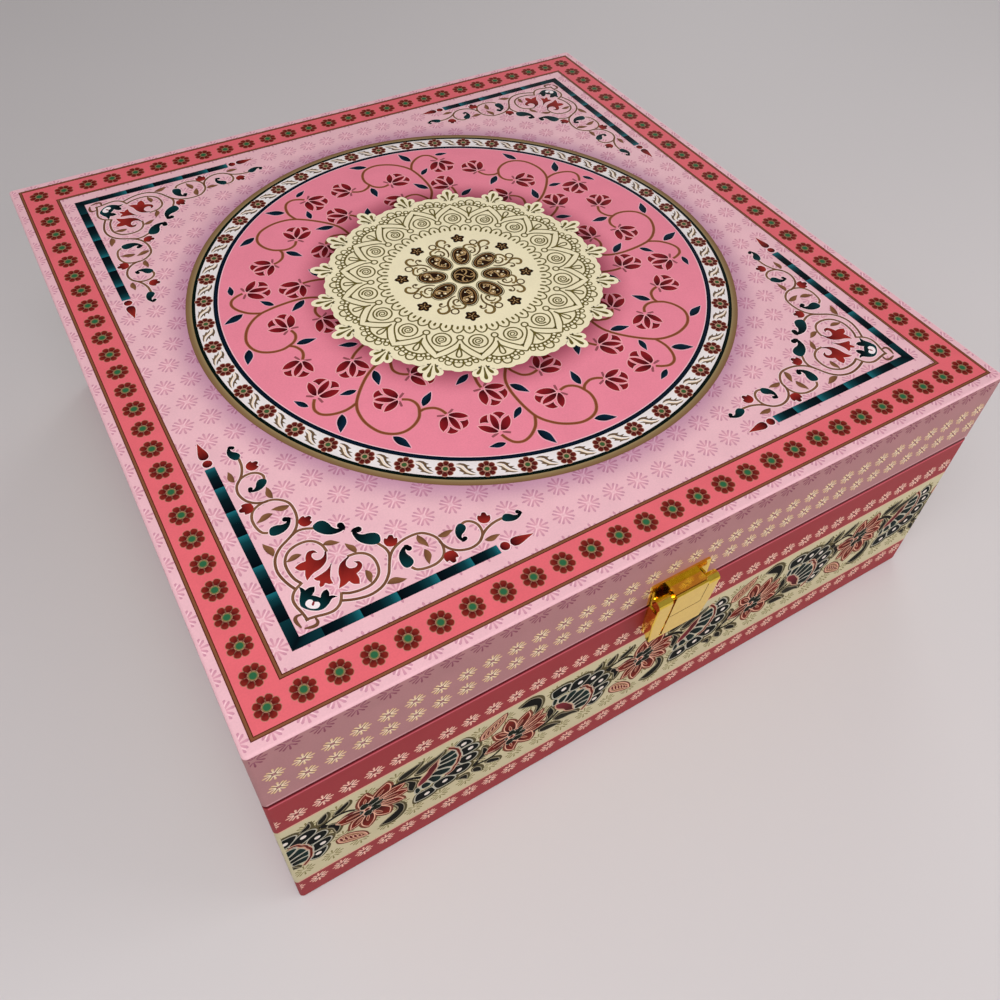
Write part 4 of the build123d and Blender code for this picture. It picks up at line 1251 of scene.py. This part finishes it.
def fibreBoard():
    # Medium-density fibreboard, sawn: brown felted wood fibre that shows where no paper covers it
    material, tree, where = newMaterial("fibreboard")
    fibres = addNode(tree, "ShaderNodeTexNoise", {
        "Vector": where, "Scale": 1000 / boardFinish["fibre"], "Detail": 4.0, "Roughness": 0.7,
    })
    cloud = addNode(tree, "ShaderNodeTexNoise", {
        "Vector": where, "Scale": 1000 / boardFinish["cloud"], "Detail": 2.0,
    })
    both = addNode(tree, "ShaderNodeMath", {0: fibres.outputs["Fac"], 1: cloud.outputs["Fac"]},
                   operation="ADD")
    half = addNode(tree, "ShaderNodeMath", {0: both.outputs[0], 1: 0.5}, operation="MULTIPLY")
    colour = addNode(tree, "ShaderNodeValToRGB", {"Fac": half.outputs[0]},
                     ((0.3, "#8A6A48"), (0.7, "#B8966C")))
    bump = addNode(tree, "ShaderNodeBump", {
        "Height": fibres.outputs["Fac"], "Strength": boardFinish["strength"],
        "Distance": boardFinish["depth"] * mm,
    })
    closeMaterial(tree, {
        "Base Color": colour.outputs["Color"], "Normal": bump.outputs["Normal"],
        "Roughness": boardFinish["roughness"],
    })
    return material


def liningPaper(name, code, rib):
    # Plain dyed lining paper, uncoated: faint laid lines, about rib mm apart, and a dry, dull face
    material, tree, where = newMaterial(name)
    laid = addNode(tree, "ShaderNodeTexWave", {
        "Vector": where, "Scale": 1000 / rib / 2, "Distortion": 1.5, "Detail": 1.0,
    }, bands_direction="DIAGONAL")
    fleck = addNode(tree, "ShaderNodeTexNoise", {
        "Vector": where, "Scale": 1000 / liningFinish["fleck"], "Detail": 3.0,
    })
    both = addNode(tree, "ShaderNodeMath", {0: laid.outputs["Fac"], 1: fleck.outputs["Fac"]}, operation="ADD")
    level = addNode(tree, "ShaderNodeMapRange", {
        "Value": both.outputs[0], "From Min": 0.2, "From Max": 1.8, "To Min": 0.92, "To Max": 1.05,
    })
    colour = addNode(tree, "ShaderNodeVectorMath", {
        0: toLinear(code)[:3], "Scale": level.outputs["Result"],
    }, operation="SCALE")
    bump = addNode(tree, "ShaderNodeBump", {
        "Height": both.outputs[0], "Strength": liningFinish["strength"],
        "Distance": liningFinish["depth"] * mm,
    })
    closeMaterial(tree, {
        "Base Color": colour.outputs[0], "Normal": bump.outputs["Normal"],
        "Roughness": liningFinish["roughness"],
    })
    return material


def platedBrass():
    # Brass sheet, stamped and gold plated: near mirror bright, with a faint ripple from the stamping
    material, tree, where = newMaterial("gold_plated_brass")
    ripple = addNode(tree, "ShaderNodeTexNoise", {
        "Vector": where, "Scale": 1000 / brassFinish["ripple"], "Detail": 1.0,
    })
    haze = addNode(tree, "ShaderNodeTexNoise", {
        "Vector": where, "Scale": 1000 / brassFinish["haze"], "Detail": 3.0,
    })
    bright, dull = brassFinish["roughness"]
    rough = addNode(tree, "ShaderNodeMapRange", {
        "Value": haze.outputs["Fac"], "From Min": 0.3, "From Max": 0.7, "To Min": bright, "To Max": dull,
    })
    colour = addNode(tree, "ShaderNodeValToRGB", {"Fac": haze.outputs["Fac"]},
                     ((0.3, "#F8D048"), (0.7, "#FFDC54")))
    bump = addNode(tree, "ShaderNodeBump", {
        "Height": ripple.outputs["Fac"], "Strength": brassFinish["strength"],
        "Distance": brassFinish["depth"] * mm,
    })
    closeMaterial(tree, {
        "Base Color": colour.outputs["Color"], "Normal": bump.outputs["Normal"],
        "Roughness": rough.outputs["Result"], "Metallic": 1.0,
    })
    return material


finishes = {
    "lid_wrap": lidPaper(),
    "base_wrap": basePaper(),
    "board": fibreBoard(),
    "lining": liningPaper("lining_paper_rose", "#E7A9B4", 0.9),
    "card": liningPaper("grey_card", "#B9B2A6", 1.4),
    "divider": liningPaper("divider_card_rose", "#E3A2AE", 1.1),
    "brass": platedBrass(),
}


def finishOf(name):
    if name in finishes:
        return finishes[name]
    if name.endswith("lining"):
        return finishes["lining"]
    if name == "base_bottom_card":
        return finishes["card"]
    if name.startswith("divider"):
        return finishes["divider"]
    if name.startswith(("clasp", "hinge")):
        return finishes["brass"]
    return finishes["board"]


for name, node in nodes.items():
    node.data.materials.clear()
    node.data.materials.append(finishOf(name))
print("materials set")

# Floor and light: a pale plain floor, an even sky and three soft square lamps, one above the front, one on
# the right and a stronger one far behind on the right; in metres and watts, the floor's grain in mm
studio = {
    "floor": "#DAD4D5", "floorSize": 12.0, "grain": 333.33, "uneven": (0.98, 1.02), "roughness": 0.7,
    "sky": 0.31, "skyTint": (1.0, 0.985, 0.98, 1.0),
    "lamps": (
        {"name": "soft_lamp_above", "place": (-0.26, -0.33, 0.62), "size": 0.5, "power": 3.0},
        {"name": "soft_lamp_right", "place": (0.75, -0.50, 0.24), "size": 0.5, "power": 3.2},
        {"name": "soft_lamp_back", "place": (1.4, 1.4, 0.6), "size": 0.8, "power": 7.0},
    ),
}


def addFloor():
    # Matt background paper, with hardly any grain
    bpy.ops.mesh.primitive_plane_add(size=studio["floorSize"], location=(0, 0, 0))
    floor = bpy.context.active_object
    floor.name = "studio_floor"
    material, tree, where = newMaterial("studio_paper")
    grain = addNode(tree, "ShaderNodeTexNoise",
                    {"Vector": where, "Scale": 1000 / studio["grain"], "Detail": 2.0})
    dark, light = studio["uneven"]
    level = addNode(tree, "ShaderNodeMapRange",
                    {"Value": grain.outputs["Fac"], "To Min": dark, "To Max": light})
    colour = addNode(tree, "ShaderNodeVectorMath", {
        0: toLinear(studio["floor"])[:3], "Scale": level.outputs["Result"],
    }, operation="SCALE")
    closeMaterial(tree, {"Base Color": colour.outputs[0], "Roughness": studio["roughness"]})
    floor.data.materials.append(material)


def addLight():
    for lamp in studio["lamps"]:
        data = bpy.data.lights.new(lamp["name"], "AREA")
        data.shape = "SQUARE"
        data.size = lamp["size"]
        data.energy = lamp["power"]
        light = bpy.data.objects.new(lamp["name"], data)
        bpy.context.scene.collection.objects.link(light)
        light.location = lamp["place"]
        light.rotation_euler = (-Vector(lamp["place"])).to_track_quat("-Z", "Y").to_euler()
    world = bpy.data.worlds.new("even_sky")
    bpy.context.scene.world = world
    world.use_nodes = True
    tree = world.node_tree
    tree.nodes.clear()
    sky = addNode(tree, "ShaderNodeBackground", {"Color": studio["skyTint"], "Strength": studio["sky"]})
    addNode(tree, "ShaderNodeOutputWorld", {"Surface": sky.outputs[0]})


addFloor()
addLight()
print("floor and light set")
